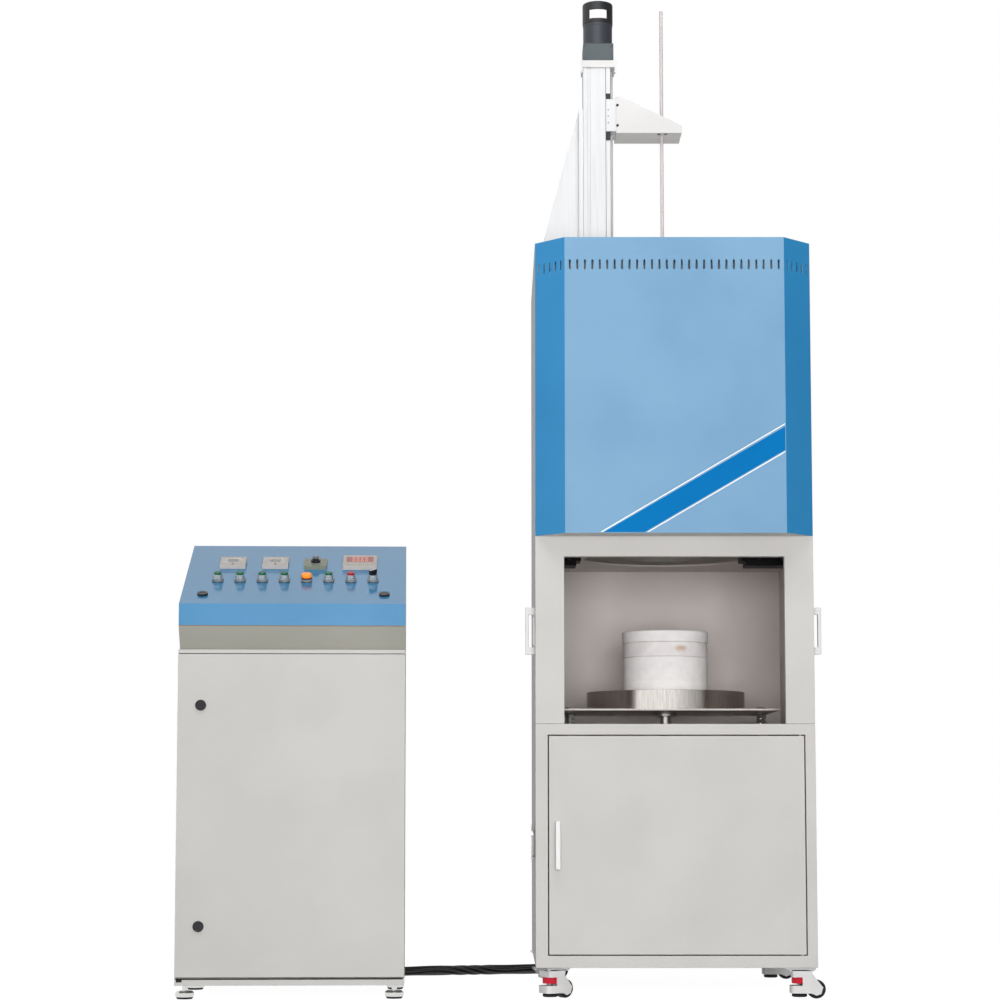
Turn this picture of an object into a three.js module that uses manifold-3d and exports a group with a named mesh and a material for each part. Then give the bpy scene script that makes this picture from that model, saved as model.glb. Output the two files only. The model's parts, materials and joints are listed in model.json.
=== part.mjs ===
// Crucible lift furnace with its control console, in millimetres, +Z up.
// The origin lies on the floor at the centre of the object's outer box.
// The tower stands on the right and the console on the left, turned a little about its front left corner.
import * as THREE from 'three';
import { mergeVertices } from 'three/addons/utils/BufferGeometryUtils.js';
import Module from 'manifold-3d';

const wasm = await Module();
wasm.setup();

// Driving dimensions of the whole object
const towerWidth = 750;
const towerDepth = 780;
const cabinetTop = 730;
const towerTop = 2040;
const consoleWidth = 610;
const consoleDepth = 440;
const consoleGap = 350;
const consoleTurn = 2;
const handleReach = 26;
const coverReach = 80;

// Clearances, overrun and roundness shared by all pieces
const seat = 0.3;
const running = 0.5;
const overrun = 5;
const weld = 0.0005;
const coarseSides = 12;
const roundSides = 24;
const smoothSides = 36;

// Sheet metal
const sheet = 3;
const frameDepth = 28;

// Levelling casters
const casterHeight = 83;
const casterInset = 42;
const casterPlate = 73;
const casterPlateThickness = 5;
const casterNeckRadius = 18;
const casterNeckHeight = 4;
const casterBodyLength = 57;
const casterBodyWidth = 50;
const casterBodyLow = 14.5;
const casterCornerRound = 12;
const casterUpperSetback = 5;
const casterJawHeight = 20.2;
const casterWindowHeight = 22;
const casterWindowReach = 31;
const casterCheekRoot = 9;
const casterShoulder = 5;
const wheelRadius = 25;
const wheelWidth = 22;
const wheelTrail = 41;
const wheelBoreRadius = 4.4;
const axleRadius = 4;
const cheekThickness = 5;
const cheekRadius = 17;
const footSetback = 3.5;
const footPadRadius = 20.5;
const footPadThickness = 10;
const footPadChamfer = 2;
const footClear = 4.5;
const footStemRadius = 6;
const thumbwheelRadius = 21;
const thumbwheelThickness = 16.5;
const thumbwheelChamfer = 2;
const thumbwheelOffset = 5;
const frontLeftSwivel = 35;
const rearLeftSwivel = 20;

// Lower cabinet and its inset door
const leftStile = 33;
const rightStile = 27;
const lowStile = 32;
const highStile = 29;
const doorGap = 3;
const doorThickness = 20;
const doorSheet = 2.5;
const hingeInset = 10;
const hingeSetback = 8;
const hingePinRadius = 3;
const hingePinReach = 12;
const doorHandleInset = 23.5;
const doorHandleLength = 128;
const doorHandleCentre = 407;
const doorHandleWidth = 13;
const doorHandleThickness = 8;
const doorHandleReach = 30;
const doorHandlePost = 12;
const glandRadius = 22;
const glandLength = 24;
const glandCupRadius = 34;
const glandCupDepth = 26;
const towerGlandX = 258;
const towerGlandHeight = 125;

// Side fan
const fanBack = 180;
const fanHeight = 408;
const fanSize = 119;
const fanFrameDepth = 25;
const fanOpening = 54;
const guardReach = 9;
const guardWire = 2;
const guardRingShares = [0.3, 0.62, 0.96];
const guardSpokes = 4;
const fanHubRadius = 20;
const fanSpindleRadius = 5;
const fanRotorDepth = 14;
const fanBlades = 7;
const fanBladeThickness = 2;
const fanTipClear = 4;
const fanBladePitch = 38;
const fanStrutWidth = 6;
const fanMotorDepth = 3;

// Upper body with the loading bay
const bayInset = 78;
const bayTop = 1181;
const serviceLow = 1300;
const serviceHigh = 1940;
const rodHoleRadius = 22;
const cableSlotWidth = 60;

// Blue front cover
const coverBottom = 1236;
const coverSheet = 2.5;
const coverWing = 79;
const slotCount = 29;
const slotPitch = 20.1;
const slotWidth = 5;
const slotHeight = 28;
const slotTopInset = 61;
const wingSlotCount = 5;
const wingSlotInset = 15;
const slotArcSides = 2;

// Lift table
const liftTravel = 380;
const liftPlateLow = 771;
const liftPlateThickness = 5;
const liftPlateSide = 75;
const liftPlateFront = 150;
const hearthRadius = 225;
const hearthThickness = 53;
const hearthChamfer = 1.5;
const hearthWall = 4;
const plugRadius = 120;
const plugBaseHeight = 98;
const plugRingHeight = 40.5;
const plugCapHeight = 32;
const plugCapRadius = 122;
const plugChamfer = 2;
const closedGap = 1;
const guideInset = 28;
const guideRadius = 10;
const guideTail = 500;
const guideNutRadius = 15;
const guideNutHeight = 16;
const guideBossRadius = 20;
const guideBossLow = 690;
const guideBossHigh = 740;
const columnRadius = 16;
const columnTail = 590;
const columnFlangeRadius = 33;
const columnHoleClear = 5;
const columnFlangeThickness = 8;
const actuatorTubeRadius = 30;
const actuatorTubeTop = 640;
const actuatorFootSize = 130;
const actuatorFootThickness = 12;
const actuatorGearSize = 90;
const actuatorGearHeight = 110;
const actuatorMotorRadius = 38;
const actuatorMotorLength = 150;

// Furnace above the bay
const furnacePlateThickness = 6;
const throatRadius = 127;
const mouthClear = 4;
const stopDrop = 38;
const stopBack = 170;
const stopDepth = 90;
const leftStopReach = 126;
const rightStopReach = 174;
const stopStepShare = 0.35;
const insulationClear = 95;
const chamberHeight = 460;
const roofThickness = 190;
const roofHoleRadius = 9;
const elementCount = 4;
const elementRadius = 4.5;
const elementCircle = 100;
const elementHalfPitch = 24;
const elementHoleRadius = 7.5;
const elementLow = 1420;
const elementSides = 6;
const elementBendSteps = 4;
const elementHeaderWidth = 36;
const elementHeaderThickness = 18;

// Grab handles on the tower's sides
const grabBack = 60;
const grabCentre = 983;
const grabLength = 127;
const grabBar = 9;
const grabDepth = 16;
const grabPostHeight = 19;
const grabBackThickness = 3;
const grabBlockThickness = 3;
const grabBlockLength = 75;

// Mast and its linear drive
const mastOffset = 229;
const mastBodyWidth = 65;
const mastDepth = 90;
const mastRailReach = 13;
const mastRailThickness = 12;
const mastGrooveWidth = 8;
const mastGrooveDepth = 5;
const mastFootThickness = 12;
const mastFootMargin = 18;
const mastHeight = 598;
const mastPlateThickness = 20;
const mastPlateMargin = 6;
const mastPlateOverhang = 17;
const mastSkirtDrop = 16;
const mastSkirtThickness = 4.5;
const mastSkirtDepth = 14;
const gearboxSize = 88;
const gearboxHeight = 53;
const motorRadius = 43;
const motorLength = 64;
const motorCapRadius = 44;
const motorCapHeight = 63;
const motorCapRound = 5;
const screwRadius = 4.5;
const screwReach = 18;
const screwBearing = 10;
const carriageRest = 409;
const carriageHeight = 94;
const carriageReach = 29;
const carriageWall = 4;
const highWiper = 17;
const lowWiper = 26;
const carriageNutWidth = 34;
const braceReach = 140;
const braceHeight = 475;
const braceFlange = 13;
const braceWeb = 8;
const braceBase = 8;
const braceDepth = 80;
const armFlange = 9;
const armOverhang = 56;
const armPlate = 8;
const armWeb = 5;
const armDepth = 118;
const armSetback = 5;
const armHeight = 107;
const armTipHeight = 21;
const armShoulder = 18;
const rodRadius = 5;
const rodRise = 780;
const rodReach = 280;
const rodCollarRadius = 13;
const rodCollarHeight = 22;

// Console body, door and lid
const consoleBase = 36;
const plinthTop = 56;
const lintelLow = 919.5;
const lintelHigh = 930;
const recessDepth = 50;
const lipLow = 992;
const lipHigh = 1054;
const consoleBack = 1255;
const bodySetback = 22;
const consoleDoorGap = 1.5;
const consoleHingeInset = 6;
const consoleHingeSetback = 10;
const consolePinRadius = 2.5;
const consoleStile = 30;
const lidRim = 30;
const lidSheet = 3;
const lidPinRadius = 3;
const lidBarrelRadius = 7;
const lidBarrelInset = 70;
const lidEarWidth = 12;
const lidLeafThickness = 2;
const lidHingeDrop = 8.5;
const consoleFootInset = 26;
const consoleRearFoot = 345;
const consoleFootRadius = 25.5;
const consoleFootDome = 21.4;
const consoleFootRim = 5.5;
const consoleFootRound = 5;
const consoleStemRadius = 7;
const consoleGlandX = 500;
const consoleGlandHeight = 70;

// Console controls, measured along the sloping panel from its front edge
const controlRow = 183;
const firstControl = 90.8;
const lastControlInset = 90.8;
const buttonPlaces = [0, 1, 2, 3, 5, 6];
const lampPlace = 4;
const selectorPlace = 7;
const bezelRadius = 15;
const bezelHeight = 8;
const collarRadius = 12.5;
const collarTopRadius = 11.6;
const collarHeight = 20;
const capRadius = 10.4;
const capHeight = 26;
const capTail = 8;
const capRound = 1.5;
const capClear = 0.6;
const lampRadius = 14;
const lampHeight = 22.5;
const lampRound = 4;
const selectorGripWidth = 9;
const selectorGripLength = 24;
const selectorHeight = 34;
const selectorRest = 45;
const knobGripShare = 0.94;
const instrumentHeight = 12;
const meterSize = 72;
const meterShares = [0.2035, 0.3985];
const meterRow = 317;
const meterBarrelRadius = 33;
const meterBarrelDepth = 48;
const windowMargin = 10;
const windowDepth = 1.5;
const controllerSize = 96;
const controllerShare = 0.7872;
const controllerRow = 322;
const controllerBodySize = 90;
const controllerBodyDepth = 90;
const camPlateSize = 63;
const camShare = 0.5833;
const camRow = 308;
const camKnobRadius = 14;
const camKnobSkirt = 6;
const camKnobHeight = 14.5;
const camGripWidth = 18;
const camStemRadius = 4;
const lockRadius = 14.5;
const lockFace = 6;
const lockBarrelRadius = 9;
const lockArmLength = 44;
const lockArmWidth = 14;
const lockArmThickness = 3;
const lockSlotWidth = 3;
const lockSlotDepth = 1.5;
const doorLockInset = 62;
const doorLockHeights = [780, 192];
const lidLockInset = 58;
const lidLockRow = 69;
const lockClear = 0.6;

// Cable bundle between the console and the tower
const cableRadius = 15;
const cableSides = 8;
const cableSteps = 44;

// Places worked out from the sizes above
const degrees = Math.PI / 180;
const consoleAngle = consoleTurn * degrees;
const consoleSwing = consoleDepth * Math.sin(consoleAngle);
const overallWidth = consoleSwing + consoleWidth + consoleGap + towerWidth + handleReach;
const overallDepth = coverReach + towerDepth;
const consoleLeft = consoleSwing - overallWidth / 2;
const towerLeft = consoleLeft + consoleWidth + consoleGap;
const frontPlane = -overallDepth / 2 + coverReach;
const axisX = towerWidth / 2;
const axisBack = towerDepth / 2;
const liftPlateWidth = towerWidth - 2 * liftPlateSide;
const liftPlateDepth = towerDepth - 2 * liftPlateFront;
const guideSpread = liftPlateWidth / 2 - guideInset;
const insulationRadius = Math.min(towerWidth, towerDepth) / 2 - insulationClear;
const liftPlateTop = liftPlateLow + liftPlateThickness;
const hearthLow = liftPlateTop + seat;
const hearthTop = hearthLow + hearthThickness;
const ceilingLow = hearthTop + liftTravel + closedGap;
const ceilingTop = ceilingLow + furnacePlateThickness;
const panelSlope = Math.atan2(consoleBack - lipHigh, consoleDepth);
const wingAngle = Math.atan2(coverReach, coverWing);
const wingLength = Math.hypot(coverReach, coverWing);
const mastLeft = axisX - mastOffset;
const mastPlateLow = towerTop + mastHeight;
const carriageLow = towerTop + carriageRest;
const braceTop = towerTop + braceHeight;
const rodTop = towerTop + rodRise;
const rodLow = towerTop - rodReach;
const mastCentreY = axisBack;
const mastFront = mastCentreY - mastDepth / 2;
const mastFace = mastLeft + mastBodyWidth;
const screwX = mastFace + screwReach;
const controlPitch = (consoleWidth - firstControl - lastControlInset) / selectorPlace;
const meterCentres = meterShares.map((share) => share * consoleWidth);
const controllerCentre = controllerShare * consoleWidth;
const camCentre = camShare * consoleWidth;
const armFront = mastFront + armSetback;

// Turns a three.js geometry into a closed solid that can be joined and cut
function toSolid(geometry) {
  const bare = new THREE.BufferGeometry();
  bare.setAttribute('position', geometry.getAttribute('position').clone());
  if (geometry.index) bare.setIndex(geometry.index.clone());
  const merged = mergeVertices(bare, weld);
  const position = merged.getAttribute('position');
  const corners = [];
  for (let i = 0; i < merged.index.count; i += 3) {
    const [a, b, c] = [merged.index.getX(i), merged.index.getX(i + 1), merged.index.getX(i + 2)];
    if (a !== b && b !== c && c !== a) corners.push(a, b, c);
  }
  if (signedVolume(position, corners) < 0) corners.reverse();
  const mesh = new wasm.Mesh({
    numProp: 3,
    vertProperties: new Float32Array(position.array),
    triVerts: new Uint32Array(corners),
  });
  return new wasm.Manifold(mesh);
}

function signedVolume(position, corners) {
  const [a, b, c] = [new THREE.Vector3(), new THREE.Vector3(), new THREE.Vector3()];
  let total = 0;
  for (let i = 0; i < corners.length; i += 3) {
    a.fromBufferAttribute(position, corners[i]);
    b.fromBufferAttribute(position, corners[i + 1]);
    c.fromBufferAttribute(position, corners[i + 2]);
    total += a.dot(b.cross(c));
  }
  return total;
}

function toGeometry(solid) {
  const mesh = solid.getMesh();
  const geometry = new THREE.BufferGeometry();
  geometry.setAttribute('position', new THREE.BufferAttribute(new Float32Array(mesh.vertProperties), 3));
  geometry.setIndex(new THREE.BufferAttribute(new Uint32Array(mesh.triVerts), 1));
  return geometry;
}

function join(first, ...others) {
  return toGeometry(others.reduce((sum, next) => sum.add(toSolid(next)), toSolid(first)));
}

function cut(body, ...tools) {
  return toGeometry(tools.reduce((rest, tool) => rest.subtract(toSolid(tool)), toSolid(body)));
}

// A box between two corners
function box(lowX, highX, lowY, highY, lowZ, highZ) {
  const block = new THREE.BoxGeometry(highX - lowX, highY - lowY, highZ - lowZ);
  return block.translate((lowX + highX) / 2, (lowY + highY) / 2, (lowZ + highZ) / 2);
}

// A turned body about the Z axis, from points of radius and height
function turned(points, sides) {
  const profile = points.map(([radius, height]) => new THREE.Vector2(radius, height));
  return new THREE.LatheGeometry(profile, sides).rotateX(Math.PI / 2);
}

// A round bar or hole along Z
function bar(radius, low, high, sides = roundSides) {
  return turned([[0, low], [radius, low], [radius, high], [0, high]], sides);
}

// A ring along Z
function ring(outer, inner, low, high, sides = roundSides) {
  return turned([[inner, low], [outer, low], [outer, high], [inner, high], [inner, low]], sides);
}

function flatShape(points) {
  return new THREE.Shape(points.map(([x, y]) => new THREE.Vector2(x, y)));
}

// A flat outline in X and Y, raised from low to high along Z
function raised(points, low, high) {
  const prism = new THREE.ExtrudeGeometry(flatShape(points), { depth: high - low, bevelEnabled: false });
  return prism.translate(0, 0, low);
}

// A side outline in Y and Z, run from left to right along X
function profileAlongX(points, left, right) {
  const prism = new THREE.ExtrudeGeometry(flatShape(points), { depth: right - left, bevelEnabled: false });
  return prism.rotateY(Math.PI / 2).rotateX(Math.PI / 2).translate(left, 0, 0);
}

// A front outline in X and Z, run from front to back along Y
function profileAlongY(points, front, back) {
  const prism = new THREE.ExtrudeGeometry(flatShape(points), { depth: back - front, bevelEnabled: false });
  return prism.rotateX(Math.PI / 2).translate(0, back, 0);
}

// The colour and finish of one piece
function finish(color, roughness, metalness) {
  return new THREE.MeshStandardMaterial({ color, roughness, metalness });
}

const paint = {
  grey: () => finish(0xd0cec8, 0.45, 0),
  blue: () => finish(0x7db1dc, 0.35, 0),
  deepBlue: () => finish(0x5f9fd2, 0.3, 0),
  white: () => finish(0xeceae8, 0.4, 0),
  black: () => finish(0x1b1b1d, 0.5, 0),
  charcoal: () => finish(0x34363c, 0.45, 0.2),
  steel: () => finish(0xb9b7b2, 0.3, 1),
  chrome: () => finish(0xdddddd, 0.12, 1),
  aluminium: () => finish(0xe4e4e6, 0.4, 0.6),
  fibre: () => finish(0xf3efe9, 0.95, 0),
  green: () => finish(0x0c7a4a, 0.35, 0),
  red: () => finish(0xb5202a, 0.35, 0),
  rod: () => finish(0xe6d8d2, 0.7, 0),
  beige: () => finish(0xd8d0c8, 0.5, 0),
};

function addPiece(parent, name, geometry, material, place = [0, 0, 0]) {
  const clean = toGeometry(toSolid(geometry));
  clean.computeVertexNormals();
  const piece = new THREE.Mesh(clean, material);
  piece.name = name;
  piece.position.set(...place);
  parent.add(piece);
  return piece;
}

const furnace = new THREE.Group();
const tower = new THREE.Group();
tower.position.set(towerLeft, frontPlane, 0);
furnace.add(tower);
const consoleUnit = new THREE.Group();
consoleUnit.position.set(consoleLeft, frontPlane, 0);
consoleUnit.rotation.z = consoleAngle;
furnace.add(consoleUnit);

// Lower cabinet: a folded shell with a door frame, guide bosses, hinge pins and the cable gland
function baseCabinet() {
  const openLeft = leftStile;
  const openRight = towerWidth - rightStile;
  const openLow = casterHeight + lowStile;
  const openHigh = cabinetTop - highStile;
  const shell = box(0, towerWidth, 0, towerDepth, casterHeight, cabinetTop);
  const inside = box(sheet, towerWidth - sheet, frameDepth, towerDepth - sheet, casterHeight + sheet,
    cabinetTop - sheet);
  const doorway = box(openLeft, openRight, -overrun, frameDepth + overrun, openLow, openHigh);
  const fanHole = bar(fanOpening + guardWire, -overrun, sheet + overrun).rotateY(Math.PI / 2)
    .translate(0, fanBack, fanHeight);
  const columnHole = bar(columnRadius + columnHoleClear, cabinetTop - sheet - overrun, cabinetTop + overrun)
    .translate(axisX, axisBack, 0);
  let cabinet = cut(shell, inside, doorway, fanHole, columnHole);
  for (const side of [-1, 1]) {
    const boss = bar(guideBossRadius, guideBossLow, guideBossHigh)
      .translate(axisX + side * guideSpread, axisBack, 0);
    const bore = bar(guideRadius + running, guideBossLow - overrun, guideBossHigh + overrun)
      .translate(axisX + side * guideSpread, axisBack, 0);
    cabinet = cut(join(cabinet, boss), bore);
  }
  const hingeX = openRight - doorGap - hingeInset;
  const lowPin = bar(hingePinRadius, openLow - overrun, openLow + hingePinReach, coarseSides)
    .translate(hingeX, hingeSetback, 0);
  const highPin = bar(hingePinRadius, openHigh - hingePinReach, openHigh + overrun, coarseSides)
    .translate(hingeX, hingeSetback, 0);
  const inlet = (radius, reach, past) => bar(radius, towerDepth - reach, towerDepth + past)
    .rotateX(-Math.PI / 2).translate(towerGlandX, 0, towerGlandHeight);
  const cup = inlet(glandCupRadius + sheet, glandCupDepth + sheet, 0);
  const recess = inlet(glandCupRadius, glandCupDepth, overrun);
  const gland = inlet(glandRadius, glandCupDepth + sheet / 2, 0);
  return join(cut(join(cabinet, cup), recess), lowPin, highPin, gland);
}

// Inset door: a folded pan with pin holes in its upper and lower flanges
function baseDoor() {
  const left = leftStile + doorGap;
  const right = towerWidth - rightStile - doorGap;
  const low = casterHeight + lowStile + doorGap;
  const high = cabinetTop - highStile - doorGap;
  const pan = box(left, right, 0, doorThickness, low, high);
  const hollow = box(left + doorSheet, right - doorSheet, doorSheet, doorThickness + overrun,
    low + doorSheet, high - doorSheet);
  const pinHole = bar(hingePinRadius + running, low - overrun, high + overrun, coarseSides)
    .translate(right - hingeInset, hingeSetback, 0);
  return cut(pan, hollow, pinHole);
}

// Bow handle of the cabinet door, in front of the door's left edge
function baseDoorHandle() {
  const centre = leftStile + doorGap + doorHandleInset - doorHandleWidth / 2;
  const [left, right] = [centre, centre + doorHandleWidth];
  const [low, high] = [doorHandleCentre - doorHandleLength / 2, doorHandleCentre + doorHandleLength / 2];
  const grip = box(left, right, -doorHandleReach, -doorHandleReach + doorHandleThickness, low, high);
  const lowPost = box(left, right, -doorHandleReach, -seat, low, low + doorHandlePost);
  const highPost = box(left, right, -doorHandleReach, -seat, high - doorHandlePost, high);
  return join(grip, lowPost, highPost);
}

// Fan frame behind the cabinet's left wall, with its wire guard standing out through the wall
function sideFanFrame() {
  const half = fanSize / 2;
  const inner = sheet + seat;
  const frame = box(inner, inner + fanFrameDepth, -half, half, -half, half);
  const throat = bar(fanOpening, inner - overrun, inner + fanFrameDepth + overrun).rotateY(Math.PI / 2);
  let fan = cut(frame, throat);
  const back = inner + fanFrameDepth;
  const hub = bar(fanHubRadius, back - fanMotorDepth, back).rotateY(Math.PI / 2);
  const spindle = bar(fanSpindleRadius, back - fanFrameDepth + fanMotorDepth, back, coarseSides)
    .rotateY(Math.PI / 2);
  fan = join(fan, hub, spindle);
  for (let i = 0; i < guardSpokes; i += 1) {
    const angle = (i + 0.5) * 2 * Math.PI / guardSpokes;
    const strut = box(back - fanMotorDepth, back, 0, fanOpening + guardWire, -fanStrutWidth / 2,
      fanStrutWidth / 2)
      .rotateX(angle);
    const spoke = box(-guardReach, -guardReach + 2 * guardWire, 0, fanOpening, -guardWire, guardWire)
      .rotateX(angle);
    const post = box(-guardReach, inner + guardWire, fanOpening - 2 * guardWire, fanOpening + guardWire / 2,
      -guardWire, guardWire).rotateX(angle);
    fan = join(fan, strut, spoke, post);
  }
  for (const share of guardRingShares) {
    const hoop = ring(fanOpening * share + guardWire, fanOpening * share - guardWire,
      -guardReach, -guardReach + 2 * guardWire).rotateY(Math.PI / 2);
    fan = join(fan, hoop);
  }
  return fan;
}

function fanRotor() {
  const low = sheet + seat + fanMotorDepth;
  const high = low + fanRotorDepth;
  let rotor = bar(fanHubRadius, low, high).rotateY(Math.PI / 2);
  for (let i = 0; i < fanBlades; i += 1) {
    const chord = fanRotorDepth;
    const blade = box(-chord / 2, chord / 2, -fanBladeThickness / 2, fanBladeThickness / 2,
      fanHubRadius / 2, fanOpening - fanTipClear)
      .rotateZ(fanBladePitch * degrees)
      .translate((low + high) / 2, 0, 0)
      .rotateX(i * 2 * Math.PI / fanBlades);
    rotor = join(rotor, blade);
  }
  const spindleHole = bar(fanSpindleRadius + running, low - overrun, high + overrun, coarseSides)
    .rotateY(Math.PI / 2);
  return cut(rotor, spindleHole);
}

// Upper body: side, back and top walls round the loading bay and the furnace
function upperBody() {
  const low = cabinetTop + seat;
  const shell = box(0, towerWidth, 0, towerDepth, low, towerTop);
  const inside = box(sheet, towerWidth - sheet, frameDepth, towerDepth - sheet, low - overrun,
    towerTop - sheet);
  const bay = box(bayInset, towerWidth - bayInset, -overrun, frameDepth + overrun, low - overrun, bayTop);
  const service = box(bayInset, towerWidth - bayInset, -overrun, frameDepth + overrun, serviceLow,
    serviceHigh);
  const rodHole = bar(rodHoleRadius, towerTop - sheet - overrun, towerTop + overrun)
    .translate(axisX, axisBack, 0);
  const slot = box(towerWidth - sheet - cableSlotWidth * 2, towerWidth - sheet - cableSlotWidth,
    towerDepth - sheet - overrun, towerDepth + overrun, serviceHigh, serviceHigh + cableSlotWidth / 2);
  return cut(shell, inside, bay, service, rodHole, slot);
}

// One upright slot with round ends, cut through a sheet that faces -Y
function ventSlot(depth) {
  const radius = slotWidth / 2;
  const points = [];
  for (let i = 0; i <= slotArcSides; i += 1) {
    const angle = Math.PI * i / slotArcSides;
    points.push([radius * Math.cos(angle), slotHeight / 2 - radius + radius * Math.sin(angle)]);
  }
  for (let i = 0; i <= slotArcSides; i += 1) {
    const angle = Math.PI + Math.PI * i / slotArcSides;
    points.push([radius * Math.cos(angle), -slotHeight / 2 + radius + radius * Math.sin(angle)]);
  }
  return profileAlongY(points, -depth, depth);
}

// Front cover: a pan with slanting wings, open at the back, with vent slots along its top
function frontCover() {
  const plan = (inset) => {
    const shift = inset * Math.tan(wingAngle / 2);
    return [
      [inset / Math.sin(wingAngle), inset > 0 ? overrun : -seat],
      [inset / Math.sin(wingAngle), -seat],
      [coverWing + shift, -coverReach + inset],
      [towerWidth - coverWing - shift, -coverReach + inset],
      [towerWidth - inset / Math.sin(wingAngle), -seat],
      [towerWidth - inset / Math.sin(wingAngle), inset > 0 ? overrun : -seat],
    ];
  };
  const outline = plan(0).slice(1, 5);
  const shell = raised(outline, coverBottom, towerTop);
  const hollow = raised(plan(coverSheet), coverBottom + coverSheet, towerTop - coverSheet);
  const slotCentre = towerTop - slotTopInset - slotHeight / 2;
  const slots = [];
  for (let i = 0; i < slotCount; i += 1) {
    const along = axisX + (i - (slotCount - 1) / 2) * slotPitch;
    slots.push(ventSlot(coverSheet * 2).translate(along, -coverReach, slotCentre));
  }
  for (let i = 0; i < wingSlotCount; i += 1) {
    const along = wingSlotInset + i * (wingLength - 2 * wingSlotInset) / (wingSlotCount - 1);
    const x = along * Math.cos(wingAngle);
    const y = -along * Math.sin(wingAngle);
    slots.push(ventSlot(coverSheet * 2).rotateZ(-wingAngle).translate(x, y, slotCentre));
    slots.push(ventSlot(coverSheet * 2).rotateZ(wingAngle).translate(towerWidth - x, y, slotCentre));
  }
  return cut(shell, hollow, ...slots);
}

// Steel plate under the furnace with the hearth's round mouth and the two stepped stop blocks
function furnaceBaseFrame() {
  const left = sheet + seat;
  const right = towerWidth - sheet - seat;
  const back = towerDepth - sheet - seat;
  const plate = box(left, right, frameDepth + seat, back, ceilingLow, ceilingTop);
  const throat = bar(hearthRadius + mouthClear, ceilingLow - overrun, ceilingTop + overrun, smoothSides)
    .translate(axisX, axisBack, 0);
  const step = stopDrop * stopStepShare;
  const leftStop = box(left, left + leftStopReach, stopBack, stopBack + stopDepth,
    ceilingLow - stopDrop, ceilingLow);
  const leftNotch = box(left + leftStopReach - step, left + leftStopReach + overrun, stopBack - overrun,
    stopBack + stopDepth + overrun, ceilingLow - stopDrop - overrun, ceilingLow - stopDrop + step);
  const rightStop = box(right - rightStopReach, right, stopBack, stopBack + stopDepth,
    ceilingLow - stopDrop, ceilingLow);
  const rightNotch = box(right - rightStopReach - overrun, right - rightStopReach + step, stopBack - overrun,
    stopBack + stopDepth + overrun, ceilingLow - stopDrop - overrun, ceilingLow - stopDrop + step);
  return join(cut(plate, throat), cut(leftStop, leftNotch), cut(rightStop, rightNotch));
}

// Angle of one element's centre about the furnace axis
function elementAngle(index) {
  return (index + 0.5) * 2 * Math.PI / elementCount;
}

function insulationBlock() {
  const low = ceilingTop + seat;
  const top = low + chamberHeight + roofThickness;
  const block = bar(insulationRadius, low, top);
  const chamber = bar(throatRadius, low - overrun, low + chamberHeight);
  const rodHole = bar(roofHoleRadius, low, top + overrun, coarseSides);
  const holes = [];
  for (let i = 0; i < elementCount; i += 1) {
    for (const side of [-1, 1]) {
      holes.push(bar(elementHoleRadius, low + chamberHeight - overrun, top + overrun, elementSides)
        .translate(elementCircle, side * elementHalfPitch, 0).rotateZ(elementAngle(i)));
    }
  }
  return cut(block, chamber, rodHole, ...holes);
}

// Hairpin elements hanging from one header ring above the furnace roof
function heatingElements() {
  const roof = ceilingTop + seat + chamberHeight + roofThickness;
  const low = roof + seat;
  const high = low + elementHeaderThickness;
  const outer = Math.hypot(elementCircle, elementHalfPitch) + elementHeaderWidth / 2;
  let header = ring(outer, outer - elementHeaderWidth, low, high, smoothSides);
  const section = new THREE.Shape();
  for (let i = 0; i < elementSides; i += 1) {
    const angle = 2 * Math.PI * i / elementSides;
    const corner = [elementRadius * Math.cos(angle), elementRadius * Math.sin(angle)];
    if (i === 0) section.moveTo(...corner);
    else section.lineTo(...corner);
  }
  section.closePath();
  for (let i = 0; i < elementCount; i += 1) {
    const legs = [];
    for (const side of [-1, 1]) {
      legs.push(bar(elementRadius, elementLow + elementHalfPitch, low + elementHeaderThickness / 2,
        elementSides)
        .translate(elementCircle, side * elementHalfPitch, 0));
    }
    const bend = [];
    for (let j = 0; j <= elementBendSteps; j += 1) {
      const angle = Math.PI * j / elementBendSteps;
      bend.push(new THREE.Vector3(elementCircle, -elementHalfPitch * Math.cos(angle),
        elementLow + elementHalfPitch + elementRadius - elementHalfPitch * Math.sin(angle)));
    }
    const path = new THREE.CatmullRomCurve3(bend);
    const hairpin = new THREE.ExtrudeGeometry(section, { steps: elementBendSteps * 2,
      extrudePath: path, bevelEnabled: false });
    header = join(header, ...[hairpin, ...legs].map((leg) => leg.rotateZ(elementAngle(i))));
  }
  return header;
}

// A round disc with small chamfers on both edges
function chamferedDisc(radius, low, high, chamfer, sides) {
  const profile = [
    [0, low],
    [radius - chamfer, low],
    [radius, low + chamfer],
    [radius, high - chamfer],
    [radius - chamfer, high],
    [0, high],
  ];
  return turned(profile, sides);
}

// Round hearth pan, open underneath
function hearthDisc() {
  const disc = chamferedDisc(hearthRadius, hearthLow, hearthTop, hearthChamfer, smoothSides);
  const hollow = bar(hearthRadius - hearthWall, hearthLow - overrun, hearthTop - hearthWall, smoothSides);
  return cut(disc, hollow);
}

// Guide rod with its nut, hanging under the lift plate
function guideRod() {
  const top = liftPlateLow - seat;
  const rod = bar(guideRadius, top - guideTail, top);
  const nut = bar(guideNutRadius, top - guideNutHeight, top, coarseSides / 2);
  return join(rod, nut);
}

function liftColumn() {
  const top = liftPlateLow - seat;
  return turned([
    [0, top - columnTail],
    [columnRadius, top - columnTail],
    [columnRadius, top - columnFlangeThickness],
    [columnFlangeRadius, top - columnFlangeThickness],
    [columnFlangeRadius, top],
    [0, top],
  ], roundSides);
}

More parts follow.
